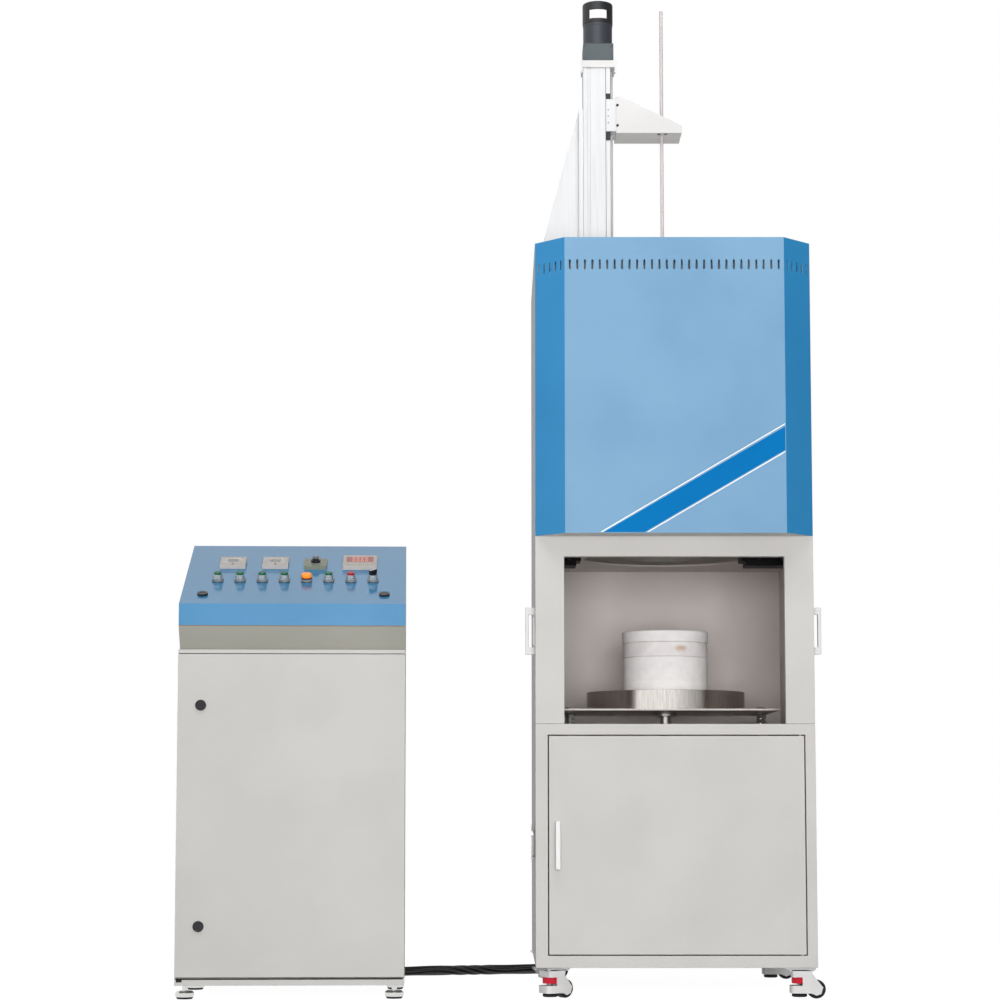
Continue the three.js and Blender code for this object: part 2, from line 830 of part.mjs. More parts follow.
// Screw jack under the table: foot, tube, gear case and motor in one housing
function liftActuator() {
  const low = casterHeight + sheet + seat;
  const gearTop = low + actuatorFootThickness + actuatorGearHeight;
  const foot = box(-actuatorFootSize / 2, actuatorFootSize / 2, -actuatorFootSize / 2, actuatorFootSize / 2,
    low, low + actuatorFootThickness);
  const gearCase = box(-actuatorGearSize / 2, actuatorGearSize / 2, -actuatorGearSize / 2,
    actuatorGearSize / 2,
    low, gearTop);
  const tube = bar(actuatorTubeRadius, low, actuatorTubeTop);
  const motorHeight = low + actuatorFootThickness + actuatorGearHeight / 2;
  const motor = bar(actuatorMotorRadius, 0, actuatorGearSize / 2 + actuatorMotorLength)
    .rotateY(Math.PI / 2).translate(0, 0, motorHeight);
  const bore = bar(columnRadius + running, liftPlateLow - columnTail - columnRadius,
    actuatorTubeTop + overrun);
  return cut(join(foot, gearCase, tube, motor), bore);
}

// Grab handle for the tower's right side; the left one is turned about
function grabHandle() {
  const half = grabLength / 2;
  const [near, far] = [-grabDepth / 2, grabDepth / 2];
  const backPlate = box(seat, grabBackThickness, near, far, -half, half);
  const block = box(seat, grabBackThickness + grabBlockThickness, near, far, -grabBlockLength / 2,
    grabBlockLength / 2);
  const grip = box(handleReach - grabBar, handleReach, near, far, -half, half);
  const lowPost = box(seat, handleReach, near, far, -half, -half + grabPostHeight);
  const highPost = box(seat, handleReach, near, far, half - grabPostHeight, half);
  return join(backPlate, block, grip, lowPost, highPost);
}

// Mast: a slotted profile with two rails, its foot and its head plate with side skirts
function mastProfile() {
  const low = towerTop + seat;
  const back = mastFront + mastDepth;
  const core = box(mastLeft, mastFace, mastFront, back, low, mastPlateLow + overrun);
  const frontRail = box(mastFace - overrun, mastFace + mastRailReach, mastFront, mastFront + mastRailThickness,
    low, mastPlateLow + overrun);
  const backRail = box(mastFace - overrun, mastFace + mastRailReach, back - mastRailThickness, back,
    low, mastPlateLow + overrun);
  const foot = box(mastLeft + seat, mastFace + mastRailReach + mastFootMargin, mastFront - mastFootMargin,
    back + mastFootMargin, low, low + mastFootThickness);
  const headLeft = mastLeft - mastPlateMargin;
  const headRight = mastFace + mastRailReach + mastPlateOverhang;
  const headFront = mastFront - mastPlateMargin;
  const headHigh = mastPlateLow + mastPlateThickness;
  const head = box(headLeft + mastSkirtThickness / 2, headRight - mastSkirtThickness / 2, headFront,
    back + mastPlateMargin, mastPlateLow, headHigh);
  const leftSkirt = box(headLeft, headLeft + mastSkirtThickness, headFront, headFront + mastSkirtDepth,
    mastPlateLow - mastSkirtDrop, headHigh);
  const rightSkirt = box(headRight - mastSkirtThickness, headRight, headFront, headFront + mastSkirtDepth,
    mastPlateLow - mastSkirtDrop, headHigh);
  const groove = (centre, face, direction) => box(centre - mastGrooveWidth / 2, centre + mastGrooveWidth / 2,
    face - (direction < 0 ? 0 : mastGrooveDepth), face + (direction < 0 ? mastGrooveDepth : 0),
    low + mastFootThickness, mastPlateLow);
  const firstGroove = mastLeft + mastBodyWidth / 4;
  const secondGroove = mastLeft + 3 * mastBodyWidth / 4;
  const screwHole = bar(screwRadius + running, low + mastFootThickness - screwBearing,
    mastPlateLow + screwBearing + running, coarseSides).translate(screwX, mastCentreY, 0);
  const joined = join(core, frontRail, backRail, foot, head, leftSkirt, rightSkirt);
  return cut(joined, groove(firstGroove, mastFront, -1), groove(firstGroove, back, 1),
    groove(secondGroove, back, 1), screwHole);
}

function mastGearbox() {
  const low = mastPlateLow + mastPlateThickness + seat;
  const half = gearboxSize / 2;
  const centre = mastLeft + half;
  return box(centre - half, centre + half, mastCentreY - half, mastCentreY + half, low, low + gearboxHeight);
}

// Mast motor with its rounded end cap
function mastMotor() {
  const low = mastPlateLow + mastPlateThickness + gearboxHeight + 2 * seat;
  const capLow = low + motorLength;
  const capHigh = capLow + motorCapHeight;
  const arc = [];
  const arcSteps = coarseSides / 3;
  for (let i = 0; i <= arcSteps; i += 1) {
    const angle = i * Math.PI / 2 / arcSteps;
    arc.push([motorCapRadius - motorCapRound + motorCapRound * Math.cos(angle),
      capHigh - motorCapRound + motorCapRound * Math.sin(angle)]);
  }
  const profile = [
    [0, low],
    [motorRadius, low],
    [motorRadius, capLow],
    [motorCapRadius, capLow],
    ...arc,
    [0, capHigh],
  ];
  return turned(profile, roundSides).translate(mastLeft + gearboxSize / 2, mastCentreY, 0);
}

// Lead screw between the mast's foot and its head plate
function mastScrew() {
  const low = towerTop + seat + mastFootThickness - screwBearing + seat;
  const high = mastPlateLow + screwBearing;
  return bar(screwRadius, low, high, coarseSides);
}

// Saddle that runs on the mast's rails, with its block in the channel and a wiper above and below
function mastCarriage() {
  const left = mastFace + running;
  const right = mastFace + carriageReach;
  const front = mastFront - carriageWall;
  const back = mastFront + mastDepth + carriageWall;
  const high = carriageLow + carriageHeight;
  const saddle = box(left, right, front, back, carriageLow, high);
  const pocket = box(left - overrun, mastFace + mastRailReach + running, mastFront - running,
    mastFront + mastDepth + running, carriageLow - overrun, high + overrun);
  const block = box(left, right, mastCentreY - carriageNutWidth / 2, mastCentreY + carriageNutWidth / 2,
    carriageLow, high);
  const wiper = box(left, mastFace + mastRailReach, front, mastFront - running, carriageLow - lowWiper,
    high + highWiper);
  const screwHole = bar(screwRadius + running, carriageLow - overrun, high + overrun, coarseSides)
    .translate(screwX, mastCentreY, 0);
  return cut(join(cut(saddle, pocket), block, wiper), screwHole);
}

// Gusset that steadies the mast on its left side
function mastBrace() {
  const right = mastLeft - seat;
  const left = right - braceReach;
  const low = towerTop + seat;
  const [front, back] = [mastCentreY - braceDepth / 2, mastCentreY + braceDepth / 2];
  const base = box(left, right, front, back, low, low + braceBase);
  const upright = box(right - braceFlange, right, front, back, low, braceTop);
  const web = profileAlongY([[left, low], [right, low], [right, braceTop], [right - braceFlange, braceTop]],
    mastCentreY - braceWeb / 2, mastCentreY + braceWeb / 2);
  return join(base, upright, web);
}

// Bracket arm bolted to the carriage, with the collar that grips the rod
function mastArm() {
  const left = mastFace + carriageReach + seat;
  const right = axisX + armOverhang;
  const [front, back] = [armFront, armFront + armDepth];
  const low = carriageLow - sheet;
  const flange = box(left, left + armFlange, front, back, low, low + armHeight);
  const floor = box(left, right, front, back, low, low + armPlate);
  const outline = [
    [left, low],
    [right, low],
    [right, low + armTipHeight],
    [left + armShoulder, low + armHeight],
    [left, low + armHeight],
  ];
  const frontWeb = profileAlongY(outline, front, front + armWeb);
  const backWeb = profileAlongY(outline, back - armWeb, back);
  const collar = bar(rodCollarRadius, low, low + armPlate + rodCollarHeight).translate(axisX, axisBack, 0);
  const rodHole = bar(rodRadius + seat, low - overrun, low + armHeight, coarseSides)
    .translate(axisX, axisBack, 0);
  return cut(join(flange, floor, frontWeb, backWeb, collar), rodHole);
}

// Caster housing in its own frame: swivel axis on Z, wheel trailing to +X
function casterHousing() {
  const top = casterHeight - seat;
  const plateLow = top - casterPlateThickness;
  const neckLow = plateLow - casterNeckHeight;
  const half = casterPlate / 2;
  const bodyHalf = casterBodyWidth / 2;
  const front = -casterBodyLength / 2;
  const back = casterBodyLength / 2;
  const plate = box(-half, half, -half, half, plateLow, top);
  const neck = bar(casterNeckRadius, neckLow - casterPlateThickness, plateLow + casterPlateThickness / 2);
  const plan = [[back, -bodyHalf], [back, bodyHalf]];
  for (const [side, start] of [[1, Math.PI / 2], [-1, Math.PI]]) {
    for (let i = 0; i <= coarseSides / 4; i += 1) {
      const angle = start + i * 2 * Math.PI / coarseSides;
      plan.push([front + casterCornerRound + casterCornerRound * Math.cos(angle),
        side * (bodyHalf - casterCornerRound) + casterCornerRound * Math.sin(angle)]);
    }
  }
  const body = raised(plan, casterBodyLow, neckLow);
  const windowLow = casterBodyLow + casterJawHeight;
  const window = box(front - overrun, front + casterWindowReach, -bodyHalf - overrun, bodyHalf + overrun,
    windowLow, windowLow + casterWindowHeight);
  const chin = box(front - overrun, front + casterUpperSetback, -bodyHalf - overrun, bodyHalf + overrun,
    windowLow, neckLow + overrun);
  const wheelSlot = bar(thumbwheelRadius + running, windowLow, windowLow + casterWindowHeight)
    .translate(-footSetback, 0, 0);
  const stemHole = bar(footStemRadius + running, casterBodyLow - overrun, windowLow + overrun, coarseSides)
    .translate(-footSetback, 0, 0);
  const cheekSide = wheelWidth / 2 + running;
  const outline = [
    [back - casterCheekRoot, neckLow],
    [back - casterShoulder, neckLow],
    [wheelTrail + cheekRadius, wheelRadius + casterShoulder],
    [wheelTrail + cheekRadius * Math.cos(Math.PI / 4), wheelRadius - cheekRadius * Math.sin(Math.PI / 4)],
    [wheelTrail, wheelRadius - cheekRadius],
    [wheelTrail - cheekRadius, casterBodyLow],
    [back - casterCheekRoot, casterBodyLow],
  ];
  const cheeks = [
    profileAlongY(outline, -cheekSide - cheekThickness, -cheekSide),
    profileAlongY(outline, cheekSide, cheekSide + cheekThickness),
  ];
  const axle = bar(axleRadius, -cheekSide - cheekThickness, cheekSide + cheekThickness, coarseSides)
    .rotateX(Math.PI / 2).translate(wheelTrail, 0, wheelRadius);
  const wheelWell = bar(wheelRadius + 2 * running, -cheekSide, cheekSide)
    .rotateX(Math.PI / 2).translate(wheelTrail, 0, wheelRadius);
  const hollow = cut(body, window, chin, wheelSlot, stemHole, wheelWell);
  return join(hollow, neck, plate, ...cheeks, axle);
}

function casterWheel() {
  const half = wheelWidth / 2;
  const crown = half / 3;
  return turned([
    [wheelBoreRadius, -half],
    [wheelRadius - crown / 2, -half],
    [wheelRadius, -half + crown],
    [wheelRadius, half - crown],
    [wheelRadius - crown / 2, half],
    [wheelBoreRadius, half],
    [wheelBoreRadius, -half],
  ], roundSides).rotateX(Math.PI / 2);
}

// Levelling foot: pad, stem and the thumbwheel that sits in the housing's window
function casterFoot() {
  const wheelLow = casterBodyLow + casterJawHeight + thumbwheelOffset;
  return turned([
    [0, footClear],
    [footPadRadius - footPadChamfer, footClear],
    [footPadRadius, footClear + footPadChamfer],
    [footPadRadius - footPadChamfer, footClear + footPadThickness - seat],
    [footStemRadius, footClear + footPadThickness - seat],
    [footStemRadius, wheelLow],
    [thumbwheelRadius - thumbwheelChamfer, wheelLow],
    [thumbwheelRadius, wheelLow + thumbwheelChamfer],
    [thumbwheelRadius, wheelLow + thumbwheelThickness - thumbwheelChamfer],
    [thumbwheelRadius - thumbwheelChamfer, wheelLow + thumbwheelThickness],
    [0, wheelLow + thumbwheelThickness],
  ], roundSides);
}

function addCaster(name, x, y, swivel) {
  const unit = new THREE.Group();
  unit.position.set(x, y, 0);
  unit.rotation.z = swivel * degrees;
  tower.add(unit);
  addPiece(unit, `${name}_housing`, casterHousing(), paint.white());
  addPiece(unit, `${name}_wheel`, casterWheel(), paint.black(), [wheelTrail, 0, wheelRadius]);
  addPiece(unit, `${name}_foot`, casterFoot(), paint.red(), [-footSetback, 0, 0]);
}

// Outline of the console body's side in Y and Z, set in from the outside by an inset
const slopeDrop = seat / Math.cos(panelSlope) + lidSheet / Math.cos(panelSlope);

function panelHeight(back) {
  return lipHigh + back * Math.tan(panelSlope);
}

function consoleBody() {
  const innerLip = lidSheet + seat;
  const outer = profileAlongX([
    [0, consoleBase],
    [0, plinthTop],
    [bodySetback, plinthTop],
    [bodySetback, lintelLow],
    [0, lintelLow],
    [0, lintelHigh],
    [recessDepth, lintelHigh],
    [0, lipLow],
    [0, lipLow + sheet],
    [innerLip, lipLow + sheet],
    [innerLip, panelHeight(innerLip) - slopeDrop],
    [consoleDepth, panelHeight(consoleDepth) - slopeDrop],
    [consoleDepth, consoleBase],
  ], 0, consoleWidth);
  const slant = sheet * Math.SQRT2;
  const innerBack = consoleDepth - sheet;
  const inner = profileAlongX([
    [bodySetback + sheet, consoleBase + sheet],
    [bodySetback + sheet, lintelHigh - sheet],
    [recessDepth + slant, lintelHigh - sheet],
    [recessDepth + slant, lintelHigh + sheet / 2],
    [innerLip + sheet, lipLow + sheet],
    [innerLip + sheet, panelHeight(innerLip + sheet) - slopeDrop - slant],
    [innerBack, panelHeight(innerBack) - slopeDrop - slant],
    [innerBack, consoleBase + sheet],
  ], sheet, consoleWidth - sheet);
  const doorway = box(consoleStile, consoleWidth - consoleStile, -overrun, bodySetback + sheet + overrun,
    plinthTop + consoleStile, lintelLow - consoleStile);
  const deckLength = Math.hypot(consoleDepth, consoleBack - lipHigh);
  const deckHole = box(lidRim, consoleWidth - lidRim, lidRim, deckLength - lidRim, -meterBarrelDepth, overrun)
    .rotateX(panelSlope).translate(0, 0, lipHigh);
  let body = cut(outer, inner, doorway, deckHole);
  const hingeX = consoleWidth - consoleHingeInset;
  const lowPin = bar(consolePinRadius, plinthTop - overrun, plinthTop + hingePinReach, coarseSides)
    .translate(hingeX, consoleHingeSetback, 0);
  const highPin = bar(consolePinRadius, lintelLow - hingePinReach, lintelLow + overrun, coarseSides)
    .translate(hingeX, consoleHingeSetback, 0);
  const hingeY = consoleDepth + lidBarrelRadius + seat;
  const hingeZ = consoleBack - lidHingeDrop;
  const lidPin = bar(lidPinRadius, lidBarrelInset - lidEarWidth,
    consoleWidth - lidBarrelInset + lidEarWidth, coarseSides)
    .rotateY(Math.PI / 2).translate(0, hingeY, hingeZ);
  body = join(body, lowPin, highPin, lidPin);
  for (const left of [lidBarrelInset - lidEarWidth - seat, consoleWidth - lidBarrelInset + seat]) {
    const ear = box(left, left + lidEarWidth, consoleDepth - sheet / 2, hingeY + lidPinRadius + sheet,
      hingeZ - lidPinRadius - sheet, hingeZ + lidPinRadius + running);
    body = join(body, ear);
  }
  for (const x of [consoleFootInset, consoleWidth - consoleFootInset]) {
    for (const y of [consoleFootInset, consoleRearFoot]) {
      body = join(body, consoleFoot().translate(x, y, 0));
    }
  }
  const gland = bar(glandRadius, -sheet, glandLength).rotateX(-Math.PI / 2)
    .translate(consoleGlandX, consoleDepth, consoleGlandHeight);
  return join(body, gland);
}

// Levelling foot of the console: a rounded drum on a rubber base, with its threaded stem
function consoleFoot() {
  return turned([
    [0, 0],
    [consoleFootRadius - consoleFootRound, 0],
    [consoleFootRadius - consoleFootRound / 2, consoleFootRim],
    [consoleFootRadius, consoleFootRim + consoleFootRound / 2],
    [consoleFootRadius, consoleFootDome - consoleFootRound],
    [consoleFootRadius - consoleFootRound, consoleFootDome],
    [consoleStemRadius, consoleFootDome],
    [consoleStemRadius, consoleBase + sheet / 2],
    [0, consoleBase + sheet / 2],
  ], roundSides);
}

function consoleDoor() {
  const low = plinthTop + consoleDoorGap;
  const high = lintelLow - consoleDoorGap;
  const pan = box(0, consoleWidth, 0, doorThickness, low, high);
  const hollow = box(doorSheet, consoleWidth - doorSheet, doorSheet, doorThickness + overrun,
    low + doorSheet, high - doorSheet);
  const pinHole = bar(consolePinRadius + running, low - overrun, high + overrun, coarseSides)
    .translate(consoleWidth - consoleHingeInset, consoleHingeSetback, 0);
  const lockHoles = doorLockHeights.map((height) => bar(lockBarrelRadius + lockClear, -overrun,
    doorSheet + overrun)
    .rotateX(-Math.PI / 2).translate(doorLockInset, 0, height));
  return cut(pan, hollow, pinHole, ...lockHoles);
}

function controlX(place) {
  return firstControl + place * controlPitch;
}

// The sloping panel's own frame: X to the right, Y up the slope, Z out of the panel
const panel = new THREE.Group();
panel.position.set(0, 0, lipHigh);
panel.rotation.x = panelSlope;
consoleUnit.add(panel);

function ontoPanel(geometry) {
  return geometry.rotateX(panelSlope).translate(0, 0, lipHigh);
}

// Lid: a bent sheet with its hinge barrel, control collars, lamp and switch plate
function consoleLid() {
  const flat = lidSheet / Math.cos(panelSlope);
  const bent = profileAlongX([
    [0, lipLow + sheet + seat],
    [0, lipHigh],
    [consoleDepth, consoleBack],
    [consoleDepth, consoleBack - flat],
    [lidSheet, panelHeight(lidSheet) - flat],
    [lidSheet, lipLow + sheet + seat],
  ], 0, consoleWidth);
  const hingeY = consoleDepth + lidBarrelRadius + seat;
  const hingeZ = consoleBack - lidHingeDrop;
  const barrel = bar(lidBarrelRadius, lidBarrelInset + seat, consoleWidth - lidBarrelInset - seat, coarseSides)
    .rotateY(Math.PI / 2).translate(0, hingeY, hingeZ);
  const leaf = box(lidBarrelInset + seat, consoleWidth - lidBarrelInset - seat, consoleDepth - lidSheet / 3,
    hingeY, consoleBack - lidSheet, consoleBack - lidSheet + lidLeafThickness);
  const barrelBore = bar(lidPinRadius + running, 0, consoleWidth, coarseSides)
    .rotateY(Math.PI / 2).translate(0, hingeY, hingeZ);
  const additions = [barrel, leaf];
  const holes = [barrelBore];
  for (const place of [...buttonPlaces, selectorPlace]) {
    const x = controlX(place);
    const collar = turned([
      [0, -lidSheet / 2],
      [bezelRadius, -lidSheet / 2],
      [bezelRadius, bezelHeight],
      [collarRadius, bezelHeight],
      [collarTopRadius, collarHeight],
      [0, collarHeight],
    ], roundSides).translate(x, controlRow, 0);
    additions.push(ontoPanel(collar));
    holes.push(ontoPanel(bar(capRadius + capClear, -2 * lidSheet, collarHeight + overrun)
      .translate(x, controlRow, 0)));
  }
  const lamp = turned([
    [0, -lidSheet / 2],
    [bezelRadius, -lidSheet / 2],
    [bezelRadius, bezelHeight],
    [lampRadius, bezelHeight],
    [lampRadius, lampHeight - lampRound],
    [lampRadius - lampRound, lampHeight],
    [0, lampHeight],
  ], roundSides).translate(controlX(lampPlace), controlRow, 0);
  const camPlate = box(camCentre - camPlateSize / 2, camCentre + camPlateSize / 2, camRow - camPlateSize / 2,
    camRow + camPlateSize / 2, -lidSheet / 2, instrumentHeight);
  additions.push(ontoPanel(lamp), ontoPanel(camPlate));
  holes.push(ontoPanel(bar(camStemRadius + running, -2 * lidSheet, instrumentHeight + overrun, coarseSides)
    .translate(camCentre, camRow, 0)));
  for (const centre of meterCentres) {
    holes.push(ontoPanel(bar(meterBarrelRadius + lockClear, -2 * lidSheet, overrun)
      .translate(centre, meterRow, 0)));
  }
  const half = controllerBodySize / 2 + lockClear;
  holes.push(ontoPanel(box(controllerCentre - half, controllerCentre + half, controllerRow - half,
    controllerRow + half, -2 * lidSheet, overrun)));
  for (const x of [lidLockInset, consoleWidth - lidLockInset]) {
    holes.push(ontoPanel(bar(lockBarrelRadius + lockClear, -2 * lidSheet, overrun)
      .translate(x, lidLockRow, 0)));
  }
  return cut(join(bent, ...additions), ...holes);
}

function pushButton() {
  return turned([
    [0, -capTail],
    [capRadius, -capTail],
    [capRadius, capHeight - capRound],
    [capRadius - capRound, capHeight],
    [0, capHeight],
  ], roundSides);
}

function selectorSwitch() {
  const low = collarHeight + running;
  const drum = bar(capRadius, -capTail, low + capRound);
  const grip = box(-selectorGripWidth / 2, selectorGripWidth / 2, -selectorGripLength / 2,
    selectorGripLength / 2,
    low, selectorHeight);
  return join(drum, grip);
}

function panelMeter() {
  const half = meterSize / 2;
  const bezel = box(-half, half, -half, half, seat, instrumentHeight);
  const pane = box(-half + windowMargin, half - windowMargin, -half + 2 * windowMargin, half - windowMargin,
    instrumentHeight - windowDepth, instrumentHeight + overrun);
  const barrel = bar(meterBarrelRadius, -meterBarrelDepth, instrumentHeight / 2);
  return join(cut(bezel, pane), barrel);
}

function temperatureController() {
  const half = controllerSize / 2;
  const bodyHalf = controllerBodySize / 2;
  const bezel = box(-half, half, -half, half, seat, instrumentHeight);
  const pane = box(-half + windowMargin, half - windowMargin, -windowMargin, half - windowMargin,
    instrumentHeight - windowDepth, instrumentHeight + overrun);
  const rear = box(-bodyHalf, bodyHalf, -bodyHalf, bodyHalf, -controllerBodyDepth, instrumentHeight / 2);
  return join(cut(bezel, pane), rear);
}

function camSwitchKnob() {
  const low = instrumentHeight + seat;
  const skirt = bar(camKnobRadius, low, low + camKnobSkirt);
  const grip = box(-camGripWidth / 2, camGripWidth / 2, -camKnobRadius * knobGripShare,
    camKnobRadius * knobGripShare,
    low + camKnobSkirt / 2, low + camKnobHeight);
  const stem = bar(camStemRadius, -capTail, low + camKnobSkirt / 2, coarseSides);
  return join(skirt, grip, stem);
}

// Quarter-turn lock about Z with its face up and its arm pointing to +X
function quarterTurnLock(depth) {
  const face = bar(lockRadius, seat, lockFace);
  const barrel = bar(lockBarrelRadius, -depth, lockFace / 2);
  const arm = box(-lockArmWidth / 2, lockArmLength, -lockArmWidth / 2, lockArmWidth / 2,
    -depth - lockArmThickness, -depth + seat);
  const keySlot = box(-lockBarrelRadius, lockBarrelRadius, -lockSlotWidth / 2, lockSlotWidth / 2,
    lockFace - lockSlotDepth, lockFace + overrun);
  return cut(join(face, barrel, arm), keySlot);
}

// Tower: cabinet, upper body and cover
addPiece(tower, 'base_cabinet', baseCabinet(), paint.grey());
addPiece(tower, 'upper_body', upperBody(), paint.grey());
addPiece(tower, 'front_cover', frontCover(), paint.blue());
addPiece(tower, 'base_door', baseDoor(), paint.grey());
addPiece(tower, 'base_door_handle', baseDoorHandle(), paint.white());
addPiece(tower, 'side_fan_frame', sideFanFrame(), paint.black(), [0, fanBack, fanHeight]);
addPiece(tower, 'fan_rotor', fanRotor(), paint.black(), [0, fanBack, fanHeight]);
addPiece(tower, 'grab_handle_right', grabHandle(), paint.white(), [towerWidth, grabBack, grabCentre]);
const leftGrab = addPiece(tower, 'grab_handle_left', grabHandle(), paint.white(), [0, grabBack, grabCentre]);
leftGrab.rotation.z = Math.PI;

// Furnace above the bay
addPiece(tower, 'furnace_base_frame', furnaceBaseFrame(), paint.black());
addPiece(tower, 'insulation_block', insulationBlock(), paint.fibre(), [axisX, axisBack, 0]);
addPiece(tower, 'heating_elements', heatingElements(), paint.charcoal(), [axisX, axisBack, 0]);

// Lift table with its load of refractory discs
const lift = new THREE.Group();
lift.position.set(axisX, axisBack, 0);
tower.add(lift);
const plateHalfWidth = liftPlateWidth / 2;
const plateHalfDepth = liftPlateDepth / 2;
addPiece(lift, 'lift_plate', box(-plateHalfWidth, plateHalfWidth, -plateHalfDepth, plateHalfDepth,
  liftPlateLow, liftPlateTop), paint.steel());
addPiece(lift, 'hearth_disc', hearthDisc(), paint.steel());
const plugBaseLow = hearthTop + seat;
const plugRingLow = plugBaseLow + plugBaseHeight + seat;
const plugCapLow = plugRingLow + plugRingHeight + seat;
addPiece(lift, 'plug_base', chamferedDisc(plugRadius, plugBaseLow, plugBaseLow + plugBaseHeight, plugChamfer,
  smoothSides), paint.fibre());
addPiece(lift, 'plug_ring', chamferedDisc(plugRadius, plugRingLow, plugRingLow + plugRingHeight, plugChamfer,
  smoothSides), paint.fibre());
addPiece(lift, 'plug_cap', chamferedDisc(plugCapRadius, plugCapLow, plugCapLow + plugCapHeight, plugChamfer,
  smoothSides), paint.fibre());
addPiece(lift, 'guide_rod_left', guideRod(), paint.chrome(), [-guideSpread, 0, 0]);
addPiece(lift, 'guide_rod_right', guideRod(), paint.chrome(), [guideSpread, 0, 0]);
addPiece(lift, 'lift_column', liftColumn(), paint.chrome());
addPiece(lift, 'lift_actuator', liftActuator(), paint.charcoal());

// Mast with its carriage, arm and rod
addPiece(tower, 'mast_profile', mastProfile(), paint.aluminium());
addPiece(tower, 'mast_brace', mastBrace(), paint.aluminium());
addPiece(tower, 'mast_gearbox', mastGearbox(), paint.charcoal());
addPiece(tower, 'mast_motor', mastMotor(), paint.charcoal());
addPiece(tower, 'mast_screw', mastScrew(), paint.steel(), [screwX, mastCentreY, 0]);
addPiece(tower, 'mast_carriage', mastCarriage(), paint.aluminium());
addPiece(tower, 'mast_arm', mastArm(), paint.aluminium());
addPiece(tower, 'push_rod', bar(rodRadius, rodLow, rodTop, coarseSides), paint.rod(), [axisX, axisBack, 0]);

// Casters
addCaster('caster_front_left', casterInset, casterInset, frontLeftSwivel);
addCaster('caster_front_right', towerWidth - casterInset, casterInset, 0);
addCaster('caster_rear_left', casterInset, towerDepth - casterInset, rearLeftSwivel);
addCaster('caster_rear_right', towerWidth - casterInset, towerDepth - casterInset, 0);

// Console with its door, lid and controls
addPiece(consoleUnit, 'console_body', consoleBody(), paint.grey());
addPiece(consoleUnit, 'console_door', consoleDoor(), paint.grey());
addPiece(consoleUnit, 'console_lid', consoleLid(), paint.deepBlue());
buttonPlaces.forEach((place, index) => {
  const colour = place === 6 ? paint.red() : paint.green();
  addPiece(panel, `push_button_${index + 1}`, pushButton(), colour, [controlX(place), controlRow, 0]);
});
const selector = addPiece(panel, 'selector_switch', selectorSwitch(), paint.black(),
  [controlX(selectorPlace), controlRow, 0]);
selector.rotation.z = -selectorRest * degrees;
addPiece(panel, 'cam_switch_knob', camSwitchKnob(), paint.black(), [camCentre, camRow, 0]);
addPiece(panel, 'ammeter', panelMeter(), paint.beige(), [meterCentres[0], meterRow, 0]);
addPiece(panel, 'voltmeter', panelMeter(), paint.beige(), [meterCentres[1], meterRow, 0]);
addPiece(panel, 'temperature_controller', temperatureController(), paint.beige(), [controllerCentre,
  controllerRow, 0]);
const lidLockDepth = lidSheet * 4;
addPiece(panel, 'lid_lock_left', quarterTurnLock(lidLockDepth), paint.black(), [lidLockInset, lidLockRow, 0]);
const rightLidLock = addPiece(panel, 'lid_lock_right', quarterTurnLock(lidLockDepth), paint.black(),
  [consoleWidth - lidLockInset, lidLockRow, 0]);
rightLidLock.rotation.z = Math.PI;
const doorLockDepth = bodySetback + sheet + lockArmThickness;
doorLockHeights.forEach((height, index) => {
  const name = ['door_lock_upper', 'door_lock_lower'][index];
  const lock = addPiece(consoleUnit, name, quarterTurnLock(doorLockDepth), paint.black(),
    [doorLockInset, 0, height]);
  lock.rotation.set(Math.PI / 2, 0, Math.PI / 2);
});

// Cable bundle: out of the console's back, along the floor and into the inlet in the tower's back
const glandEnd = new THREE.Vector3(consoleGlandX, consoleDepth + glandLength + seat, consoleGlandHeight)
  .applyAxisAngle(new THREE.Vector3(0, 0, 1), consoleAngle);
const consoleExit = [consoleLeft + glandEnd.x, frontPlane + glandEnd.y, glandEnd.z];
const towerEntry = [towerLeft + towerGlandX, frontPlane + towerDepth + seat, towerGlandHeight];
const cableRoute = [
  consoleExit,
  [-378.3, 172, 70],
  [-379.6, 210, 66],
  [-380, 252, 53],
  [-378.5, 296, 35],
  [-373, 340, 20.5],
  [-361, 382, 15.4],
  [-342, 420, 15.4],
  [-314, 455, 15.4],
  [-278, 482, 15.4],
  [-236, 501, 15.4],
  [-188, 514, 15.4],
  [-138, 524, 15.4],
  [-88, 534, 15.4],
  [-38, 546, 15.4],
  [12, 559, 15.4],
  [62, 568.5, 15.4],
  [108, 577, 16],
  [154, 583, 19.5],
  [197, 584.5, 27.5],
  [239, 581, 39.5],
  [274, 572, 54.5],
  [302, 558.5, 70.5],
  [324, 539.5, 87],
  [340, 516.5, 102],
  [350.5, 489.5, 114.5],
  [355.8, 464, 122],
  [357.5, 444, 124.8],
  towerEntry,
];

function linkCable() {
  const path = new THREE.CatmullRomCurve3(cableRoute.map((point) => new THREE.Vector3(...point)),
    false, 'centripetal');
  const section = new THREE.Shape();
  for (let i = 0; i < cableSides; i += 1) {
    const angle = 2 * Math.PI * i / cableSides;
    const corner = [cableRadius * Math.cos(angle), cableRadius * Math.sin(angle)];
    if (i === 0) section.moveTo(...corner);
    else section.lineTo(...corner);
  }
  section.closePath();
  return new THREE.ExtrudeGeometry(section, { steps: cableSteps, extrudePath: path, bevelEnabled: false });
}

addPiece(furnace, 'link_cable', linkCable(), paint.black());

export default furnace;
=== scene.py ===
"""A crucible lift furnace with its control console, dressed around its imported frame.

X runs to the right along the fronts, Y to the back and Z up. The origin lies on the floor at the
centre of the two units. Pieces and surface patterns are given in millimetres, and the places of
the camera, the lamps and the cable in metres, as in the frame.
"""
import json
import math

import bmesh
import bpy
from mathutils import Matrix, Vector


